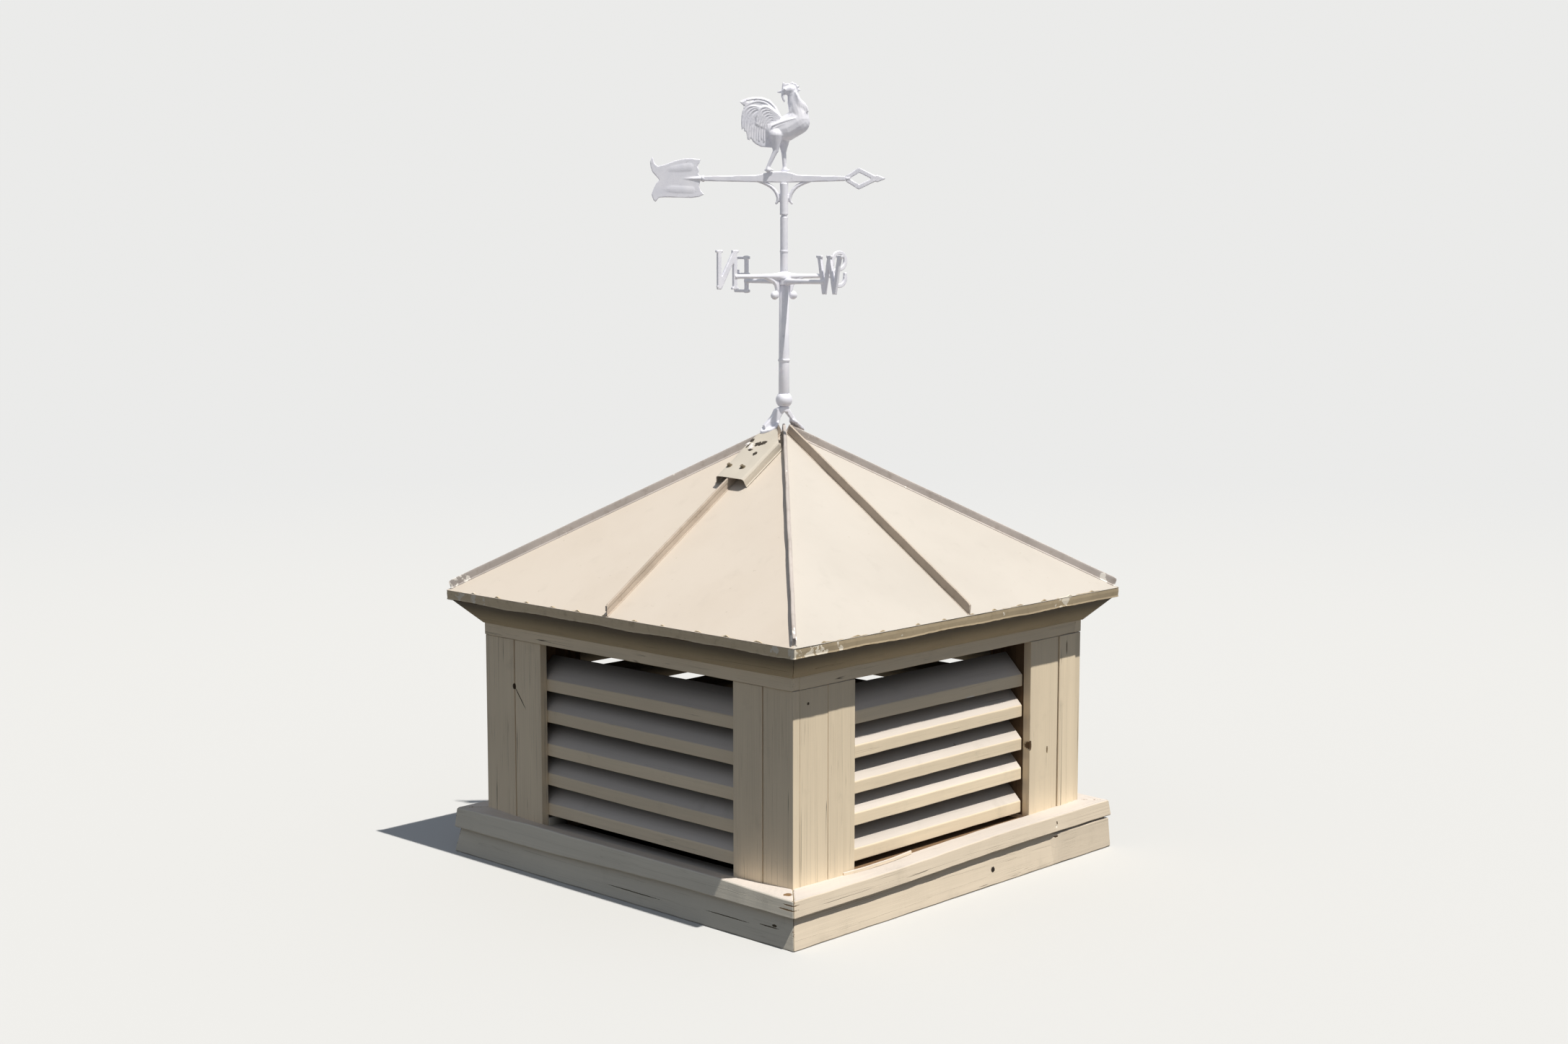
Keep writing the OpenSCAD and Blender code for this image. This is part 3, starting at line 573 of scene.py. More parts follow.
# Louvers: five slats of 1x3 in each opening, rising inward at 45 degrees, their faces cut plumb behind the
# wall boards. At the sides they run on behind the rear jamb board. None is quite level with the next
# side's.
slat_pitch = 68.0
slat_first = 6.0
slat_plumb = 18 * math.sqrt(2)
slat_past = 34.0
slat_out = inner - 0.5
slat_back = inner - slat_run
SLAT_ENDS = ((0.5, -3.5), (0.5 - slat_past, -0.5))
SLAT_SETTING = ((0.0, 4.0, 0.0, 4.0, 3.5), (0.0, -3.5, -7.0, -3.5, -2.0))
slat_flaws_and_highlight = (
    ((71, -438, 288), (5, 20, 4), (112, 92, 66)),
    # Painted highlight: a near-white streak along the top slat's lower edge, standing in for a sliver of sun.
    ((100, -438, 386), (16, 20, 1.6), (252, 246, 232)),
)
slat_wood = (
    painted_wood("painted_slats_across", 0, BOARD_PAINT, slat_flaws_and_highlight, 0.25),
    painted_wood("painted_slats_deep", 1, BOARD_PAINT, (), 0.2),
)
for side, label in enumerate(SIDES):
    timbers = Timbers(41 + side)
    start, end = [edge + past for edge, past in zip(OPENINGS[side % 2], SLAT_ENDS[side % 2])]
    for row, setting in enumerate(SLAT_SETTING[side % 2]):
        low = wall_z + slat_first + slat_pitch * row + setting
        bow = timbers.draw.uniform(-1.2, 1.2)
        tilt = timbers.draw.uniform(-0.004, 0.004)
        profile = [
            (slat_out, low), (slat_out, low + slat_plumb),
            (slat_back, low + slat_plumb + slat_run), (slat_back, low + slat_run),
        ]
        timbers.board_of(
            profile, start, end, arris=1.8, wobble=0.5,
            bend=lambda x, h, z: (x, h, z + tilt * x + bow * (1 - (x / 290) ** 2)),
        )
    timbers.done(f"{label}_slats", side, slat_wood[side % 2], f"louvers_{label}")

# Frieze and crown: a flat board over the openings, and under the eave a sprung board, mitred at the
# corners and painted dark along its top, a painted shadow under the drip edge's lip.
frieze_top = 565
crown_z = 506.0
crown_half = 510
for side, label in enumerate(SIDES):
    face = wall_face if side % 2 == 0 else wall_face + 3
    half = (inner if side % 2 == 0 else wall_face) - 0.4
    timbers = Timbers(51 + side)
    profile = [(face, frieze_z + 0.3), (face, frieze_top), (inner, frieze_top), (inner, frieze_z + 0.3)]
    timbers.board_of(profile, -half, half, arris=1.5, wobble=0.6)
    timbers.done(f"{label}_frieze_board", side, LEVEL_WOOD[side % 2], f"frieze_{label}")
    timbers = Timbers(61 + side)
    profile = [(face + 0.2, crown_z), (509.6, 558.6), (496.5, 567.5), (face + 0.2, 530)]
    # Painted shadow: the crown's top few mm go dark under the drip edge's lip.
    timbers.board_of(
        profile, -crown_half, crown_half, (True, True), arris=1.2, wobble=0.6, dirt_and_painted_shade=lambda z: (z - 551) / 6
    )
    timbers.done(f"{label}_crown_board", side, LEVEL_WOOD[side % 2], f"crown_{label}")


# Roof sheets: painted sheet metal, two sheets to a face, from the apex to the eave. They are a little wavy
# between the ribs.
peak = 923.37
roof_rise = 0.67
eave = 516.0
sheet_start = 3


def sheet_paint(name, clean, dusty):
    """Satin paint on sheet metal, dusty in patches and streaked down the slope."""
    finish = paint_of(name)
    down = finish.stretched(finish.place, (1.0, 1.0, 0.25))
    dirt_and_painted_shade = finish.noise(finish.place, 3.2, 4.0, 0.6)
    streaks = finish.noise(down, 26.0, 3.0, 0.6)
    specks = finish.noise(finish.place, 90.0, 2.0, 0.5)
    colour = finish.mix(dirt_and_painted_shade.step(0.35, 0.75), linear(*clean), linear(*dusty))
    colour = finish.stained(colour, streaks.step(0.55, 0.8) * 0.18, shaded(dusty, 0.9))
    colour = finish.stained(colour, specks.step(0.72, 0.78) * 0.25, (150, 138, 116))
    normal = finish.bump(dirt_and_painted_shade * 0.7 + specks * 0.15, 0.001, 0.3)
    return finish.surface(colour, 0.5 + dirt_and_painted_shade * 0.2, normal, specular=0.4)


# Painted shade and painted light: the front and back sheets take darker paint and the side sheets lighter
# paint, evening out the sun.
roof_paint = (
    sheet_paint("roof_sheet_paint_darkened_for_sun", (194, 187, 178), (188, 181, 172)),
    sheet_paint("roof_sheet_paint_lightened_for_shade", (208, 197, 184), (203, 191, 177)),
)
for side, label in enumerate(SIDES):
    shape = bmesh.new()
    bmesh.ops.create_grid(shape, x_segments=40, y_segments=34, size=1)
    for v in shape.verts:
        across = v.co.x
        down = (1 - v.co.y) / 2
        reach = sheet_start + (eave - 0.5 - sheet_start) * down
        v.co = Vector((across * reach, -reach, peak - roof_rise * reach))
        free = (1 - across**2) * min(1.0, 4 * (1 - down)) * abs(math.sin(math.pi * across))
        v.co.z += (noise.noise(v.co * 0.007 + Vector((0, 0, 5.1 * side))) * 1.6 - 0.8) * free
    shape.normal_update()
    bmesh.ops.solidify(shape, geom=shape.faces[:], thickness=1.6)
    turn_to(shape, side)
    name = f"{label}_roof_sheets"
    fit(name, mesh_of(shape, name), roof_paint[side % 2], "cupola", f"roof_sheet_{label}")


# Drip edges: folded sheet-metal angles nailed along the eaves, hand-bent, brush-painted and chipped.
def worn_metal(name, paint, bright, dark, chip_low=0.62, chip_spots=(), painted_light_on_sides=None):
    """Painted sheet metal. Its chips gather at chip_spots of (place in mm, reach in mm). A last colour, if
    given, is painted light: a lighter paint on the left and right faces.
    """
    finish = paint_of(name)
    broad = finish.noise(finish.place, 9.0, 3.0, 0.6)
    fine = finish.noise(finish.place, 60.0, 4.0, 0.65)
    colour = finish.mix(broad.step(0.35, 0.7), linear(*paint), linear(*shaded(paint, 0.92)))
    # Painted light: the left and right faces take a lighter paint.
    if painted_light_on_sides:
        aside = abs(finish.place.part(0)) - abs(finish.place.part(1))
        colour = finish.stained(colour, aside.step(0.0, 0.004), painted_light_on_sides)
    colour = finish.stained(colour, fine.step(0.5, 0.75) * 0.35, dark)
    chips = finish.noise(finish.place, 42.0, 3.0, 0.6)
    near = 0.0
    for middle, reach in chip_spots:
        away = finish.reach(finish.moved(finish.place, tuple(-c * MM for c in middle)))
        near = (1.0 - away.step(0.4 * reach * MM, reach * MM)) * 0.16 + near
    chips = (chips + near).step(chip_low, chip_low + 0.03)
    colour = finish.stained(colour, chips, bright)
    normal = finish.bump(broad * 0.6 + fine * 0.4 + chips * 0.5, 0.0008, 0.5)
    return finish.surface(colour, 0.6 + fine * 0.15, normal, specular=0.4)


def skin(shape, rings):
    """A closed tube through rings of vertices, with a face at each end."""
    for near, beyond in zip(rings, rings[1:]):
        for k in range(len(near)):
            after = (k + 1) % len(near)
            shape.faces.new((near[k], near[after], beyond[after], beyond[k]))
    shape.faces.new(rings[0])
    shape.faces.new(rings[-1])


def in_metres(shape, name):
    """A mesh in metres from a closed shape that is drawn in mm in its place."""
    shape.transform(Matrix.Scale(MM, 4))
    return finished(shape, name)


drip_chips = (
    ((-515, -500, 570), 110), ((-515, 470, 570), 120), ((-430, -515, 570), 70), ((300, -515, 570), 60),
)
# The last colour is painted light on the left and right faces.
drip_paint = worn_metal(
    "drip_edge_paint", (174, 157, 129), (222, 212, 194), (128, 112, 84), 0.715, drip_chips, (206, 188, 158)
)
drip_fold = [
    (513.6, 579.0), (515.2, 578.4), (515.6, 570.0), (515.0, 561.0), (515.9, 557.9), (513.9, 557.9),
    (513.1, 561.0), (513.4, 570.0),
]
drip_top = 575
drip_lip = 562
drip_steps = 128
drip_shape = bmesh.new()
drip_draw = random.Random(71)
quarter = Matrix.Rotation(math.pi / 2, 3, "Z")
for side in range(4):
    laps = [drip_draw.uniform(-0.02, 0.02) + k / 6 for k in range(-5, 6)]
    rings = []
    for step in range(drip_steps + 1):
        along = -1 + 2 * step / drip_steps
        lift = 3.4 * max(math.exp(-(((along - lap) / 0.010) ** 2)) for lap in laps)
        swell = noise.noise(Vector((along * 30.0, side * 3.0, 4.0)))
        sag = 3.2 * noise.noise(Vector((along * 4.0, side * 5.0, 8.0)))
        ring = []
        for h, z in drip_fold:
            sway = noise.noise(Vector((along * 9.0, side * 7.0, z * 0.02)))
            out = min(eave - 0.05, h + 0.5 * sway - 0.6)
            bent = 0.6 * swell + lift if z > drip_top else 0.7 * swell + (sag if z < drip_lip else 0.0)
            ring.append(drip_shape.verts.new((along * (out - 0.4), -out, z + 0.8 * sway + bent)))
        rings.append(ring)
    skin(drip_shape, rings)
    bmesh.ops.rotate(drip_shape, verts=drip_shape.verts, cent=(0, 0, 0), matrix=quarter)
drip_mesh = in_metres(drip_shape, "drip_edge_strips")
fit("drip_edge_strips", drip_mesh, drip_paint, "cupola", "drip_edges")


# Hip caps and standing seams: folded sheet-metal strips with a hemmed top. The caps lie over the hips, and
# the narrower seams run down the middle of each face.
hip_chips = [((sx * 505, sy * 505, 592), 60) for sx in (-1, 1) for sy in (-1, 1)]
hip_paint = worn_metal("hip_cap_paint", (190, 181, 175), (236, 230, 222), (138, 122, 108), 0.68, hip_chips)
seam_paint = worn_metal("standing_seam_paint", (190, 176, 161), (226, 218, 204), (142, 124, 106), 0.72)
strip_steps = 80
strip_sway = 0.9


def folded_strip(shape, profile, start, end, limit, drop, turn, seed):
    """A strip down a slope, cut plumb at limit. profile holds (aside, above) in mm; drop is the fall for each
    unit out."""
    rings = []
    lean = math.atan(drop)
    for step in range(strip_steps + 1):
        out = start + (end - start) * step / strip_steps
        sway = noise.noise(Vector((out * 0.02, seed, 0))) * strip_sway
        lift = noise.noise(Vector((out * 0.013, seed, 3))) * strip_sway * 0.6
        ring = []
        for aside, above in profile:
            free = min(1.0, above / 8) if above > 0 else 0
            x = min(out + above * math.sin(lean), limit)
            z = peak - drop * out + above * math.cos(lean) + lift * free
            ring.append(shape.verts.new((x, aside + sway * free, z)))
        rings.append(ring)
    skin(shape, rings)
    made = [v for ring in rings for v in ring]
    bmesh.ops.rotate(shape, verts=made, cent=(0, 0, 0), matrix=Matrix.Rotation(turn, 3, "Z"))


hip_shape = bmesh.new()
hip_drop = roof_rise / math.sqrt(2)
hip_half = [(0, 15.9), (2.6, 15.2), (3.1, 12.5), (3.3, 1.0), (5.6, -1.0), (5.6, -2.6), (0, -0.4)]
hip_profile = [(-x, z) for x, z in reversed(hip_half[1:-1])] + hip_half
for side in range(4):
    folded_strip(hip_shape, hip_profile, 5, 719, 723, hip_drop, math.pi / 4 + side * math.pi / 2, side * 3.7)
fit("hip_cap_strips", in_metres(hip_shape, "hip_cap_strips"), hip_paint, "cupola", "hip_ribs")

seam_shape = bmesh.new()
seam_profile = [
    (-4.3, -0.4), (-4.3, 0.8), (-1.4, 1.4), (-1.2, 12.4), (-2.8, 12.8), (-2.8, 19.2), (-1.8, 19.9),
    (1.4, 19.9), (2.2, 19.0), (2.2, 12.8), (1.2, 12.2), (1.4, 1.4), (4.3, 0.8), (4.3, -0.4),
]
for side in range(4):
    folded_strip(
        seam_shape, seam_profile, 9, eave - 2.5, eave - 0.7, roof_rise, side * math.pi / 2, side * 5.3 + 1
    )
seam_mesh = in_metres(seam_shape, "standing_seam_strips")
fit("standing_seam_strips", seam_mesh, seam_paint, "cupola", "mid_ribs")


# Peak cover: a bent sheet-metal cover over the upper end of the left face's seam, cut to the hips. The
# stand's left foot is screwed down on it, with dark and pale blotches around it.
cover_end = 161
cover_skew = 0.03
cover_steps = 30
cover_profile = [
    (-48.5, 1.2), (-46.0, 1.6), (-45.2, 3.0), (-46.0, 10), (-46.0, 17.0), (-44.5, 19.6), (-41, 20.6),
    (-30, 20.9), (-15, 21.0), (0, 21.1), (15, 21.0), (27, 20.8), (32, 20.0), (35, 17.5), (39, 10),
    (43.5, 3.0), (44.5, 1.8), (48, 1.4),
]


def on_left(out, aside, above):
    """A place on the left slope: out from the axis, aside of the seam and above the deck."""
    lean = math.atan(roof_rise)
    return Vector((-out - above * math.sin(lean), aside, peak - roof_rise * out + above * math.cos(lean)))


cover_shape = bmesh.new()
rows = []
for step in range(cover_steps + 1):
    row = []
    for aside, above in cover_profile:
        top = max(13.0, abs(aside) + 9)
        low = cover_end - cover_skew * aside
        out = top + (low - top) * step / cover_steps
        dent = noise.noise(Vector((out * 0.03, aside * 0.03, 6.0))) * min(1.0, above / 15) * 1.3
        row.append(cover_shape.verts.new(on_left(out, aside, above + dent - 0.5)))
    rows.append(row)
for row, below in zip(rows, rows[1:]):
    for k in range(len(cover_profile) - 1):
        cover_shape.faces.new((row[k], below[k], below[k + 1], row[k + 1]))
cover_shape.normal_update()
bmesh.ops.solidify(cover_shape, geom=cover_shape.faces[:], thickness=1.1)
cover_paint = sheet_paint("peak_cover_paint", (197, 189, 176), (188, 179, 163))
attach(show("peak_cover_sheet", in_metres(cover_shape, "peak_cover_sheet"), cover_paint), "cupola")


def rod(shape, start, end, low, high, sides=24):
    """A round rod that tapers from the radius low to high."""
    start = Vector(start)
    end = Vector(end)
    line = end - start
    turn = line.to_track_quat("Z", "Y").to_matrix().to_4x4()
    bmesh.ops.create_cone(
        shape, cap_ends=True, segments=sides, radius1=low, radius2=high, depth=line.length,
        matrix=Matrix.Translation((start + end) / 2) @ turn,
    )


washer = (7.0, 20.0, 21.6, 20)
head = (4.2, 21.0, 27.0, 6)
screws = bmesh.new()
for out, aside in ((130, 24), (131, -16)):
    for radius, low, high, sides in (washer, head):
        rod(screws, on_left(out, aside, low), on_left(out, aside, high), radius, radius * 0.94, sides)
dull = worn_metal("cover_screw_metal", (120, 108, 88), (190, 180, 160), (70, 60, 46), 0.7)
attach(show("peak_cover_screws", in_metres(screws, "peak_cover_screws"), dull), "cupola")

# Each smear lies at a distance out and aside, and reaches a length down the slope and a width across it.
dark_smears = (
    (57, 27, 4, 4), (65, -1, 4, 9), (61, -11, 4, 5), (84, 7, 3, 7), (74, 24, 5, 2), (92, -15, 4, 4),
    (70, 4, 3, 3),
)
pale_smears = ((76, 14, 5, 6), (69, 17, 3, 3), (68, 30, 4, 4))
smear_z = 21.9
# Dark and pale blotches: thin flat lumps on the cover around the foot.
for label, tone, spots in (("dark", (58, 50, 40), dark_smears), ("pale", (236, 230, 226), pale_smears)):
    smears = bmesh.new()
    for out, aside, long, wide in spots:
        lump = bmesh.ops.create_icosphere(smears, subdivisions=4, radius=1.0)["verts"]
        shift = Vector((out, aside, 0))
        for v in lump:
            ragged = 1 + 0.9 * noise.noise(v.co * 1.7 + shift) + 0.35 * noise.noise(v.co * 5.0 + shift)
            spot = (out + v.co.x * long * ragged, aside + v.co.y * wide * ragged, smear_z + v.co.z * 1.5)
            v.co = on_left(*spot)
    name = f"{label}_sealant_smears"
    blotch = worn_metal(f"{label}_sealant", tone, shaded(tone, 1.1), shaded(tone, 0.8), 0.75)
    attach(show(name, in_metres(smears, name), blotch), "cupola")


# Inside lumber: posts, studs, plates and deck boards keep their own shape. Their sawn wood shows bare and
# dark through the slats.
def bare_wood(name, grain):
    """Sawn wood with its grain along axis 0, 1 or 2."""
    finish = paint_of(name)
    along = [1.0, 1.0, 1.0]
    along[grain] = 0.04
    grained = finish.stretched(finish.place, tuple(along))
    rings = finish.noise(grained, 42.0, 3.0, 0.55, 0.6)
    fibres = finish.noise(grained, 260.0, 3.0, 0.6)
    colour = finish.mix(rings.step(0.35, 0.65), linear(76, 58, 42), linear(104, 82, 60))
    colour = finish.stained(colour, fibres.step(0.55, 0.7) * 0.4, (58, 44, 32))
    return finish.surface(colour, 0.85, finish.bump(rings + fibres * 0.6, 0.0008, 0.5), specular=0.2)


for node, grain in (("wall_posts", 2), ("top_plates", 0), ("roof_deck", 0)):
    lumber = bare_wood(f"bare_wood_{node}", grain)
    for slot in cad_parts[node].material_slots:
        slot.material = lumber


# Vane stand: a collar on two stout cast legs that stand astride the peak, turned a little from the middle
# of the side faces, each with a round-tipped foot on the slope. All of the vane is sand-cast aluminium
# under pale weathered paint.
cast = paint_of("cast_vane_paint")
broad = cast.noise(cast.place, 24.0, 3.0, 0.6)
sand = cast.noise(cast.place, 420.0, 2.0, 0.5)
rub = cast.noise(cast.place, 95.0, 4.0, 0.65)
cast_colour = cast.mix(broad.step(0.35, 0.7), linear(244, 243, 250), linear(234, 234, 243))
cast_colour = cast.stained(cast_colour, rub.step(0.60, 0.74) * 0.35, (178, 178, 188))
cast_bump = cast.bump(broad * 0.5 + sand * 0.35 + rub * 0.4, 0.0006, 0.5)
cast_paint = cast.surface(cast_colour, 0.45 + rub * 0.2, cast_bump, metallic=0.25)
crease = math.radians(40.0)


def post(shape, foot, head, low, high=None):
    """An upright round post on the vane's axis."""
    rod(shape, (0, 0, foot), (0, 0, head), low, high or low, 40)


def plate(shape, outline, thickness, middle=0):
    """A flat plate across the vane's y, from an outline of (x, z)."""
    ring = [shape.verts.new((x, middle - thickness / 2, z)) for x, z in outline]
    pulled(shape, ring, (0, thickness, 0))
    bmesh.ops.recalc_face_normals(shape, faces=shape.faces)


def cast_piece(name, shape, voxel, body, node, turn=0.0, passes=4):
    """Fuses overlapping closed shapes in mm to one casting and places it as a piece."""
    shape.transform(Matrix.Rotation(turn, 4, "Z"))
    maker = bpy.data.objects.new(name + "_maker", finished(shape, name))
    bpy.context.scene.collection.objects.link(maker)
    if voxel:
        remesh = maker.modifiers.new("fuse", "REMESH")
        remesh.mode = "VOXEL"
        remesh.voxel_size = voxel
        soften = maker.modifiers.new("soften", "SMOOTH")
        soften.factor = 0.5
        soften.iterations = passes
    bpy.context.view_layer.update()
    ready = bpy.data.meshes.new_from_object(maker.evaluated_get(bpy.context.evaluated_depsgraph_get()))
    bpy.data.objects.remove(maker)
    ready.transform(Matrix.Scale(MM, 4))
    ready.name = name
    for face in ready.polygons:
        face.use_smooth = True
    ready.set_sharp_from_angle(angle=crease)
    fit(name, ready, cast_paint, body, node)


collar_z = 973.97
stand_turn = math.radians(27)
leg_t = 15
foot_t = 6.2
rib_top = peak + 20 * math.sqrt(1 + roof_rise**2)
stand = bmesh.new()
post(stand, collar_z - 12, collar_z - 2, 11)
post(stand, collar_z - 3, collar_z, 9.5)
left_flank = [
    (0, 963), (5, 958), (10, 950), (12, 941), (17, 936), (44, 919), (47, 933.5), (35, 945.5), (27.5, 954),
    (21, 968), (10, 972), (0, 972),
]
right_flank = [
    (0, 963), (3, 961), (9, 953.5), (17, 944), (24, 934), (40, 924), (38, 930), (29, 940), (21, 952),
    (11, 967), (6, 972), (0, 972),
]
for half_turn, tip, half_wide, flank in ((math.pi, 54, 20.5, left_flank), (0, 47, 13, right_flank)):
    leg = bmesh.new()
    plate(leg, flank, leg_t)
    half_foot = [(13, 0.35), (17, 0.65), (22, 0.95), (28, 1.0)]
    half_foot += [(tip - 16, 0.85), (tip - 8, 0.55), (tip - 2, 0.25)]
    tread = [(out, -half_wide * k) for out, k in half_foot] + [(tip, 0)]
    tread += [(out, half_wide * k) for out, k in reversed(half_foot)]
    sole = []
    for out, aside in tread:
        x = out * math.cos(stand_turn) + aside * math.sin(stand_turn)
        sole.append(leg.verts.new((out, aside, rib_top - roof_rise * x + 0.6)))
    pulled(leg, sole, (0, 0, foot_t))
    bmesh.ops.recalc_face_normals(leg, faces=leg.faces)
    leg.transform(Matrix.Rotation(half_turn - stand_turn, 4, "Z"))
    join(stand, leg)
cast_piece("vane_stand_casting", stand, 1.3, "cupola", "vane_stand")


# Ball and rods: turned pieces, threaded on each other. A bead marks each rod, and the upper one ends in
# the pin that the arrow turns on.
def turned(profile):
    """A lathe-turned shape from (radius, height) points."""
    shape = bmesh.new()
    line = [shape.verts.new((radius, 0, z)) for radius, z in profile]
    edges = [shape.edges.new(pair) for pair in zip(line, line[1:])]
    bmesh.ops.spin(
        shape, geom=line + edges, axis=(0, 0, 1), cent=(0, 0, 0), angle=2 * math.pi, steps=48, use_merge=True
    )
    bmesh.ops.remove_doubles(shape, verts=shape.verts, dist=0.001)
    return shape


def bead(z, radius, out, high):
    """A bead on a rod, as points of its profile upwards from z."""
    swell = ((0, 0), (0.7, 0.12), (1, 0.5), (0.7, 0.88), (0, 1))
    return [(radius + share * out, z + rise * high) for share, rise in swell]


ball_r = 17.8
ball_z = collar_z + 13.5
ball_top = collar_z + 27
ball_profile = [(0, collar_z), (8.5, collar_z), (9.0, collar_z + 1.5)]
for k in range(15):
    angle = math.radians(-49 + 7 * k)
    ball_profile.append((ball_r * math.cos(angle), ball_z + ball_r * math.sin(angle)))
ball_profile += [(11.0, ball_top), (0, ball_top)]
cast_piece("vane_ball_turned", turned(ball_profile), 0, "cupola", "vane_ball")

rod_z = ball_top
rod_l = 231
rod_low = 11.7
rod_high = 10.0
hub_z = rod_z + rod_l
bead_z = rod_z + 69
bead_r = rod_low + (rod_high - rod_low) * (bead_z - rod_z) / rod_l
rod_profile = [(0, rod_z), (11.2, rod_z), (rod_low, rod_z + 1.0)] + bead(bead_z, bead_r, 2, 5)
rod_profile += [(rod_high, hub_z - 0.8), (9.4, hub_z), (0, hub_z)]
cast_piece("lower_rod", turned(rod_profile), 0, "cupola", "vane_rod")

spindle_r = 8.1
pin_r = 5
shoulder_z = hub_z + 144
spindle_profile = [(0, hub_z), (spindle_r, hub_z)] + bead(hub_z + 69, spindle_r, 1, 5)
spindle_profile += [(spindle_r, shoulder_z - 0.8), (7.4, shoulder_z), (6.6, shoulder_z + 0.6)]
spindle_profile += [(6.6, shoulder_z + 3.4), (pin_r, shoulder_z + 3.6), (pin_r, shoulder_z + 65.5)]
spindle_profile += [(4.5, shoulder_z + 66), (0, shoulder_z + 66)]
cast_piece("spindle", turned(spindle_profile), 0, "cupola", "vane_spindle")


# Compass castings: two crossed arms with serif letters at their ends. The upper one has scrolls under it
# and a dome over its hub.
arm_r = 5.0
letter_h = 82.0
letter_t = 6.4
stroke = 10.0
letter_foot = 27.0
letter_r = 152.0
north_turn = math.radians(172)


def limb(shape, stops, flat=1.0, side=0.0):
    """A round-ended limb through stops of (x, z, radius) in the vane's plane or beside it; flat squashes it
    across that plane."""
    places = [Vector((x, side, z)) for x, z, radius in stops]
    radii = [radius for x, z, radius in stops]
    ways = [(b - a).normalized() for a, b in zip(places, places[1:])]
    ways = [ways[0]] + [(a + b).normalized() for a, b in zip(ways, ways[1:])] + [ways[-1]]
    caps = [math.radians(18 * k) for k in range(1, 5)]
    hoops = []
    for lean in caps:
        end = places[0] - ways[0] * radii[0] * math.cos(lean)
        hoops.append((end, radii[0] * math.sin(lean), ways[0]))
    hoops += zip(places, radii, ways)
    for lean in reversed(caps):
        end = places[-1] + ways[-1] * radii[-1] * math.cos(lean)
        hoops.append((end, radii[-1] * math.sin(lean), ways[-1]))
    across = Vector((0, flat, 0))
    angles = [math.pi * k / 8 for k in range(16)]
    rings = []
    for place, radius, way in hoops:
        aside = Vector((-way.z, 0, way.x)).normalized()
        ring = [place + radius * (aside * math.cos(a) + across * math.sin(a)) for a in angles]
        rings.append([shape.verts.new(spot) for spot in ring])
    skin(shape, rings)


def strip(shape, start, end, width, thickness):
    """A flat bar between two (x, z) places, such as a stroke of a letter."""
    a = Vector(start)
    b = Vector(end)
    aside = Vector((a.y - b.y, b.x - a.x)).normalized() * width / 2
    plate(shape, [a - aside, a + aside, b + aside, b - aside], thickness)


def letter(kind):
    """Strokes of a letter around the middle of its foot line, in the arm's upright plane."""
    shape = bmesh.new()
    top = letter_h - stroke / 4

    def bar(start, end, width):
        strip(shape, start, end, width, letter_t)

    def serif(x, z, reach=stroke * 0.85):
        bar((x - reach, z), (x + reach, z), stroke / 2)

    if kind == "N":
        half = letter_h * 0.25
        for x in (-half, half):
            bar((x, 0.4), (x, letter_h - 0.4), stroke * 0.9)
        bar((-half - 1, letter_h - 3), (half + 1, 3), stroke * 1.2)
        for x, z in ((-half, stroke / 4), (-half - 1, top), (half, top)):
            serif(x, z)
    elif kind == "W":
        half = letter_h * 0.4
        for sign in (-1, 1):
            bar((sign * half, letter_h - 1), (sign * half / 2, 2), stroke)
            bar((0, letter_h - 2), (sign * half / 2, 2), stroke * 0.9)
            serif(sign * half, top)
        serif(0, top, stroke * 0.8)
    elif kind == "E":
        half = letter_h * 0.25
        bar((-half, 0.4), (-half, letter_h - 0.4), stroke * 0.95)
        for z, reach in ((stroke / 2, half), (letter_h / 2, half / 2), (letter_h - stroke / 2, half)):
            bar((-half - stroke, z), (reach, z), stroke * 0.65)
            low = z - (0 if z < letter_h / 3 else stroke * (2 if z > letter_h * 0.6 else 1))
            low = max(0.3, min(low, letter_h - 2 * stroke - 0.3))
            bar((reach - 2, low), (reach - 2, low + 2 * stroke), stroke / 2)
    else:
        bend = (letter_h + stroke) / 4 - stroke / 2
        upper_bow = []
        for k in range(25):
            angle = math.radians(-10 + 280 * k / 24)
            upper_bow.append((bend * math.cos(angle), letter_h / 2 + bend + bend * math.sin(angle)))
        lower_bow = [(-x, letter_h - z) for x, z in reversed(upper_bow)]
        for bow in (upper_bow, lower_bow):
            for start, end in zip(bow, bow[1:]):
                bar(start, end, stroke * 0.9)
                x, z = start
                rod(shape, (x, -letter_t / 2, z), (x, letter_t / 2, z), stroke * 0.45, stroke * 0.45, 12)
        for x, z in (upper_bow[0], lower_bow[-1]):
            bar((x, z - stroke * 0.8), (x, z + stroke * 0.8), stroke * 0.7)
    return shape


def compass_arm(shape, kind, turn, half, flip, height):
    """An arm with its letter: thick at the hub, thin at the letter."""
    arm = letter(kind)
    if flip:
        arm.transform(Matrix.Scale(-1, 4, (1, 0, 0)))
    arm.transform(Matrix.Translation((letter_r, 0, -letter_foot)))
    limb(arm, [(10, 0, 9.0), (20, 0, 7.4), (34, 0, 5.8), (52, 0, 5.2), (64, 0, 5.0)])
    edge = letter_r - half
    rod(arm, (60, 0, 0), (edge, 0, 0), 5.0, 4.6, 20)
    rod(arm, (edge - 9, 0, 0), (edge + 3, 0, 0), 5.0, 5.6, 20)
    arm.transform(Matrix.Translation((0, 0, height)) @ Matrix.Rotation(turn, 4, "Z"))
    bmesh.ops.recalc_face_normals(arm, faces=arm.faces)
    join(shape, arm)


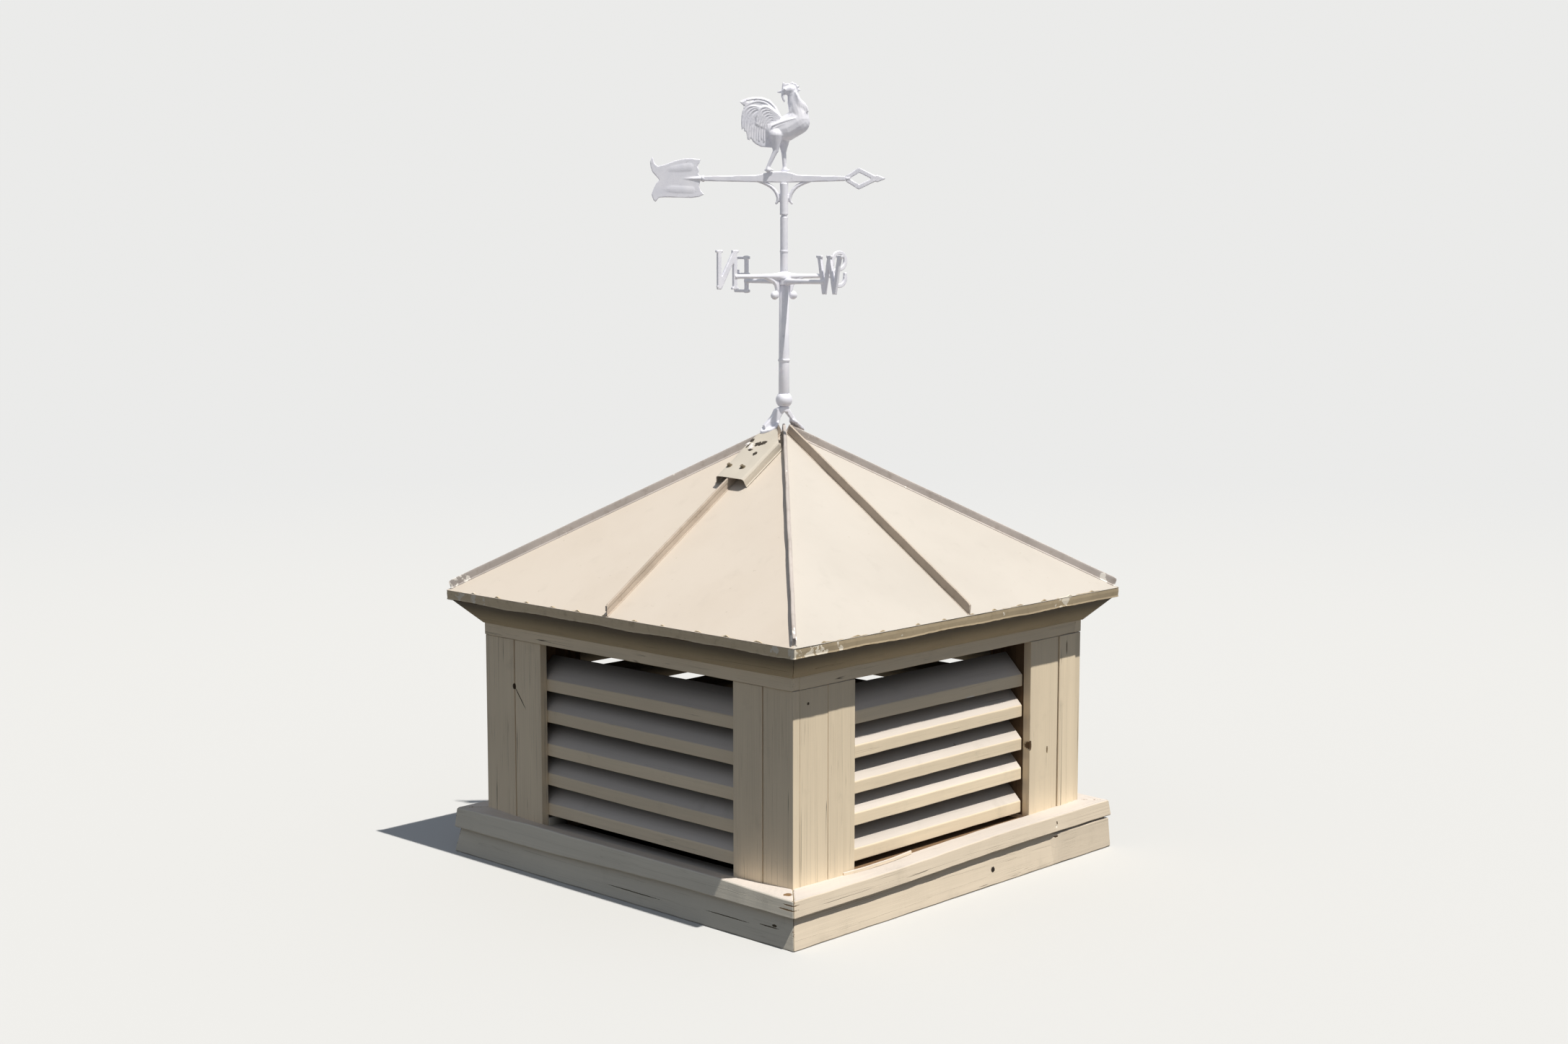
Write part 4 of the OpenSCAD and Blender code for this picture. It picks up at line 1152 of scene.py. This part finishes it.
upper_hub_z = hub_z + 14
upper_arm_z = upper_hub_z + arm_r
upper = bmesh.new()
post(upper, upper_hub_z, upper_hub_z + 8, 15.0, 13.6)
limb(upper, [(0, upper_hub_z + 3, 13.6), (0, upper_hub_z + 4.5, 13.2)])
compass_arm(upper, "N", north_turn, letter_h * 0.27, False, upper_arm_z)
compass_arm(upper, "S", north_turn + math.pi, letter_h * 0.2, True, upper_arm_z)
web = [(13.9, 1), (46, -2), (41, -7), (31, -10), (23, -16), (18, -25), (17, -33), (22, -36), (19, -41)]
web += [(14.6, -40)]
scroll = [(50, -2, 4.4), (39, -6, 4.6), (29, -10.5, 4.4), (22, -18, 4.2), (18.5, -30, 4.0)]
scroll_end = [(24.6, -40, 9.2), (25.2, -40.4, 9.2)]
for turn in (north_turn, north_turn + math.pi):
    curl = bmesh.new()
    plate(curl, web, letter_t)
    limb(curl, scroll)
    limb(curl, scroll_end, 0.85)
    curl.transform(Matrix.Translation((0, 0, upper_arm_z)) @ Matrix.Rotation(turn, 4, "Z"))
    join(upper, curl)
cast_piece("north_south_casting", upper, 1.1, "cupola", "compass_north_south")

lower = bmesh.new()
post(lower, hub_z + 0.3, hub_z + 13.9, 13.6)
compass_arm(lower, "E", north_turn - math.pi / 2, letter_h * 0.25, False, hub_z + 8)
compass_arm(lower, "W", north_turn + math.pi / 2, letter_h * 0.2, True, hub_z + 8)
cast_piece("east_west_casting", lower, 1.1, "cupola", "compass_east_west")


# Turning arrow: a sleeve on the spindle's pin with two curved brackets, and a shaft that swells under the
# bird. The shaft carries a swallow-tailed plate and an open diamond point.
arrow_turn = math.radians(-46)
sleeve_z = shoulder_z + 4
shaft_z = sleeve_z + 68 + 8.5
shaft_tail = -170
shaft_point = 130
sleeve = bmesh.new()
post(sleeve, sleeve_z, sleeve_z + 67.6, 8.8)
post(sleeve, sleeve_z + 1, sleeve_z + 4, 9.0)
bracket = [(58, -3.5, 3.6), (48, -6.5, 4.2), (38, -10.5, 4.2), (28, -16, 4.1), (20, -23.5, 4.0)]
bracket += [(15, -32, 4.0), (12.4, -41, 3.8), (13.2, -47, 3.4), (16.5, -52, 2.6)]
for sign in (-1, 1):
    limb(sleeve, [(sign * x, shaft_z + z, radius) for x, z, radius in bracket])
cast_piece("vane_sleeve_casting", sleeve, 1.1, "vane", "vane_sleeve", arrow_turn)

arrow = bmesh.new()
shaft_outline = [(-169.6, -5.2), (-60, -7.4), (-12, -8.3), (12, -8.3), (60, -7.0), (129.6, -5.2)]
shaft_outline += [(129.6, 5.2), (60, 6.8), (28, 8.0)]
for k in range(13):
    share = k / 12
    mound = math.sin(math.pi * min(1, share * 1.06)) ** 0.8
    shaft_outline.append((28 - 84 * share, 8.2 + 6.9 * mound))
shaft_outline += [(-60, 7.2), (-169.6, 5.2)]
plate(arrow, shaft_outline, 10.4)
arrow.transform(Matrix.Translation((0, 0, shaft_z)))
cast_piece("arrow_shaft_casting", arrow, 1.2, "vane", "arrow_shaft", arrow_turn, 6)

tail_outline = [
    (2, 5.4), (-7.4, 5.2), (-11.8, 10), (-9.6, 16.5), (-13.2, 27), (-9, 32.5), (-6, 40), (-24, 42.4),
    (-40, 42), (-61, 37.5), (-82, 29.6), (-97, 26), (-104, 32.5), (-108, 46), (-113.4, 36),
    (-112.4, 24.7), (-108.4, 13.2), (-100.8, 5), (-94, -2.6), (-100.8, -10), (-106.4, -21.4),
    (-110.8, -33), (-107, -45), (-102.4, -49), (-98.4, -44), (-95.2, -40), (-82, -39.4), (-54.4, -39.8),
    (-26.6, -40.5), (-11, -38.6), (0.7, -33.4), (-6.5, -24.7), (-9.6, -14.8), (-7.4, -5.2), (2, -5.4),
]
tail = bmesh.new()
plate(tail, tail_outline, 4.8)
bmesh.ops.triangulate(tail, faces=tail.faces[:])
bmesh.ops.subdivide_edges(tail, edges=tail.edges[:], cuts=3)
rod(tail, (0, 0, 0), (-46, 0, 0), 5.4, 2.4, 20)
rod(tail, (1, 0, 0), (-4, 0, 0), 7.0, 7.0, 24)
for lobe in ([(-94, 15, 7), (-70, 20, 12), (-30, 24, 14)], [(-98, -22, 8), (-70, -22, 13), (-26, -24, 13)]):
    limb(tail, lobe, 0.24)
tail.transform(Matrix.Translation((shaft_tail, 0, shaft_z)))
cast_piece("arrow_tail_casting", tail, 1.1, "vane", "arrow_tail", arrow_turn)

point = bmesh.new()
for sign in (-1, 1):
    strip(point, (4, sign * 2.5), (30, sign * 18.5), 9.6, 8.8)
    strip(point, (27, sign * 18.7), (60, sign * 2.5), 9.6, 8.8)
rod(point, (0, 0, 0), (10, 0, 0), 5.4, 5.4, 20)
point_tip = [(54, 6), (60, 5.4), (68, 7.8), (84.6, 1), (84.6, -1), (68, -7.8), (60, -5.4), (54, -6)]
plate(point, point_tip, 8.2)
point.transform(Matrix.Translation((shaft_point, 0, shaft_z)))
cast_piece("arrow_point_casting", point, 1.1, "vane", "arrow_point", arrow_turn)


# Rooster: hollow-cast in relief, with combed tail sickles, a feathered neck and a folded wing on each
# flank. It stands on the shaft's mound. Its outlines are in shares of its height.
bird_z = shaft_z + 8.5 + 7
bird_h = 187.0
bird_t = 34.0
bird = bmesh.new()


def muscle(stops, flat=1.0, side=0.0):
    """A limb of the bird, its stops in shares of its height and its side in shares of its thickness."""
    limb(bird, [(x * bird_h, z * bird_h, radius * bird_h) for x, z, radius in stops], flat, side * bird_t)


def relief(outline, thickness, middle=0):
    """A plate of the bird, its outline in shares of its height."""
    plate(bird, [(x * bird_h, z * bird_h) for x, z in outline], thickness, middle)


def feather(route, widths, thick, side):
    """A feather with a raised quill along a bent route of (x, z) in shares of the bird's height."""
    start, bend, end = [Vector((x * bird_h, 0, z * bird_h)) for x, z in route]
    stops = 14
    rings = []
    for k in range(stops + 1):
        t = k / stops
        spot = start * (1 - t) ** 2 + bend * 2 * t * (1 - t) + end * t**2
        along = ((bend - start) * (1 - t) + (end - bend) * t).normalized()
        aside = Vector((-along.z, 0, along.x))
        spread = widths[0] * (1 - t) + widths[1] * t
        half = max(0.6, spread * (math.sin(math.pi * min(0.97, 0.18 + 0.8 * t)) ** 0.5)) / 2
        quill = Vector((0, thick * (1 - 0.45 * t) / 2, 0))
        spot = spot + Vector((0, side, 0))
        ring = [spot + aside * half, spot + quill, spot - aside * half, spot - quill]
        rings.append([bird.verts.new(p) for p in ring])
    skin(bird, rings)


muscle([(0.125, 0.55, 0.142), (0.0, 0.475, 0.142), (-0.13, 0.45, 0.118)], 0.60)
neck = [(0.145, 0.575, 0.118), (0.14, 0.64, 0.106), (0.115, 0.715, 0.094), (0.09, 0.775, 0.08)]
neck += [(0.078, 0.84, 0.066), (0.062, 0.89, 0.06)]
muscle(neck, 0.70)
muscle([(0.055, 0.905, 0.058), (-0.01, 0.895, 0.045)], 0.85)
muscle([(-0.045, 0.89, 0.024), (-0.098, 0.878, 0.008)], 0.9)
tail_core = [
    (-0.05, 0.56), (-0.099, 0.585), (-0.111, 0.664), (-0.139, 0.744), (-0.186, 0.795), (-0.249, 0.812),
    (-0.304, 0.80), (-0.367, 0.778), (-0.446, 0.768), (-0.525, 0.778), (-0.50, 0.744), (-0.454, 0.724),
    (-0.493, 0.68), (-0.507, 0.617), (-0.51, 0.537), (-0.505, 0.458), (-0.473, 0.50), (-0.45, 0.418),
    (-0.438, 0.345), (-0.406, 0.38), (-0.38, 0.33), (-0.343, 0.30), (-0.288, 0.272), (-0.162, 0.262),
    (-0.099, 0.29), (-0.04, 0.33),
]
relief(tail_core, 9.0)

# Tail feathers: two long sickles over the top, then a fan that droops, and shorter ones over its root.
sickles = [((-0.07, 0.60), (-0.19, 0.905), (-0.52, 0.772)), ((-0.07, 0.585), (-0.25, 0.89), (-0.485, 0.715))]
tips = [0.50, 0.45, 0.42, 0.35, 0.37, 0.34, 0.36, 0.345, 0.365, 0.34, 0.35, 0.33, 0.34, 0.32]
for k, tip_z in enumerate(tips):
    share = k / (len(tips) - 1)
    tip_x = -0.50 + 0.36 * share
    sickles.append(((-0.07, 0.585 - 0.09 * share), (tip_x - 0.012, 0.905 - 0.22 * share), (tip_x, tip_z)))
for k, (root, bend, tip) in enumerate(sickles):
    for side in (-1, 1):
        feather((root, bend, (tip[0], tip[1] + 0.01 * side)), (8, 7.5), 7.5, side * (3.0 + 0.14 * k))
for k in range(9):
    share = k / 8
    tip_x = -0.34 + 0.19 * share
    route = ((-0.06, 0.60 - 0.02 * k), (tip_x + 0.02, 0.86 - 0.30 * share), (tip_x, 0.52 - 0.10 * share))
    for side in (-1, 1):
        feather(route, (7, 7), 6.5, side * 6.0)

# Wing and neck feathers, the same on both flanks.
for k in range(6):
    root = (0.10 - 0.01 * k, 0.585 - 0.022 * k)
    route = (root, (-0.02, 0.56 - 0.03 * k), (-0.17 + 0.012 * k, 0.50 - 0.03 * k))
    for side in (-1, 1):
        feather(route, (7, 8), 4.6, side * (13.6 - 0.4 * k))
for k in range(8):
    root = (0.105 + 0.004 * k, 0.885 - 0.012 * k)
    route = (root, (0.075 + 0.022 * k, 0.745), (0.03 + 0.031 * k, 0.625 + 0.004 * k))
    for side in (-1, 1):
        feather(route, (7, 9), 4.6, side * (8.0 + 0.9 * min(k, 7 - k)))
comb = [
    (-0.05, 0.92), (-0.048, 0.96), (-0.036, 0.996), (-0.015, 0.972), (0.012, 0.982), (0.035, 0.972),
    (0.066, 0.999), (0.092, 0.978), (0.108, 0.984), (0.12, 0.955), (0.15, 0.952), (0.13, 0.925),
    (0.165, 0.905), (0.13, 0.885), (0.06, 0.9),
]
relief(comb, 6.0)
wattle = [(-0.055, 0.87), (-0.058, 0.83), (-0.04, 0.785), (-0.024, 0.765), (-0.012, 0.79), (-0.028, 0.84)]
wattle += [(-0.02, 0.87)]
eye_r = 1.9
eye_z = 0.912 * bird_h
for side in (-1, 1):
    relief(wattle, 4.2, side * 3.2)
    limb(bird, [(-0.022 * bird_h, eye_z, eye_r), (-0.025 * bird_h, eye_z, eye_r)], side=side * 0.235 * bird_t)
for hip_x, foot_x, side in ((-0.03, -0.02, 0.2), (-0.12, -0.205, -0.2)):
    muscle([(hip_x, 0.40, 0.085), (hip_x, 0.30, 0.055), (hip_x, 0.23, 0.034)], 0.8, side)
    muscle([(hip_x, 0.23, 0.029), (foot_x, 0.05, 0.022), (foot_x, 0.015, 0.034)], side=side)
    for toe_x in (0.05, -0.035):
        muscle([(foot_x, 0.02, 0.018), (foot_x + toe_x, 0.012, 0.011)], side=side)
bird.transform(Matrix.Translation((5, 0, bird_z)))
cast_piece("rooster_casting", bird, 1.3, "vane", "rooster", arrow_turn, 2)
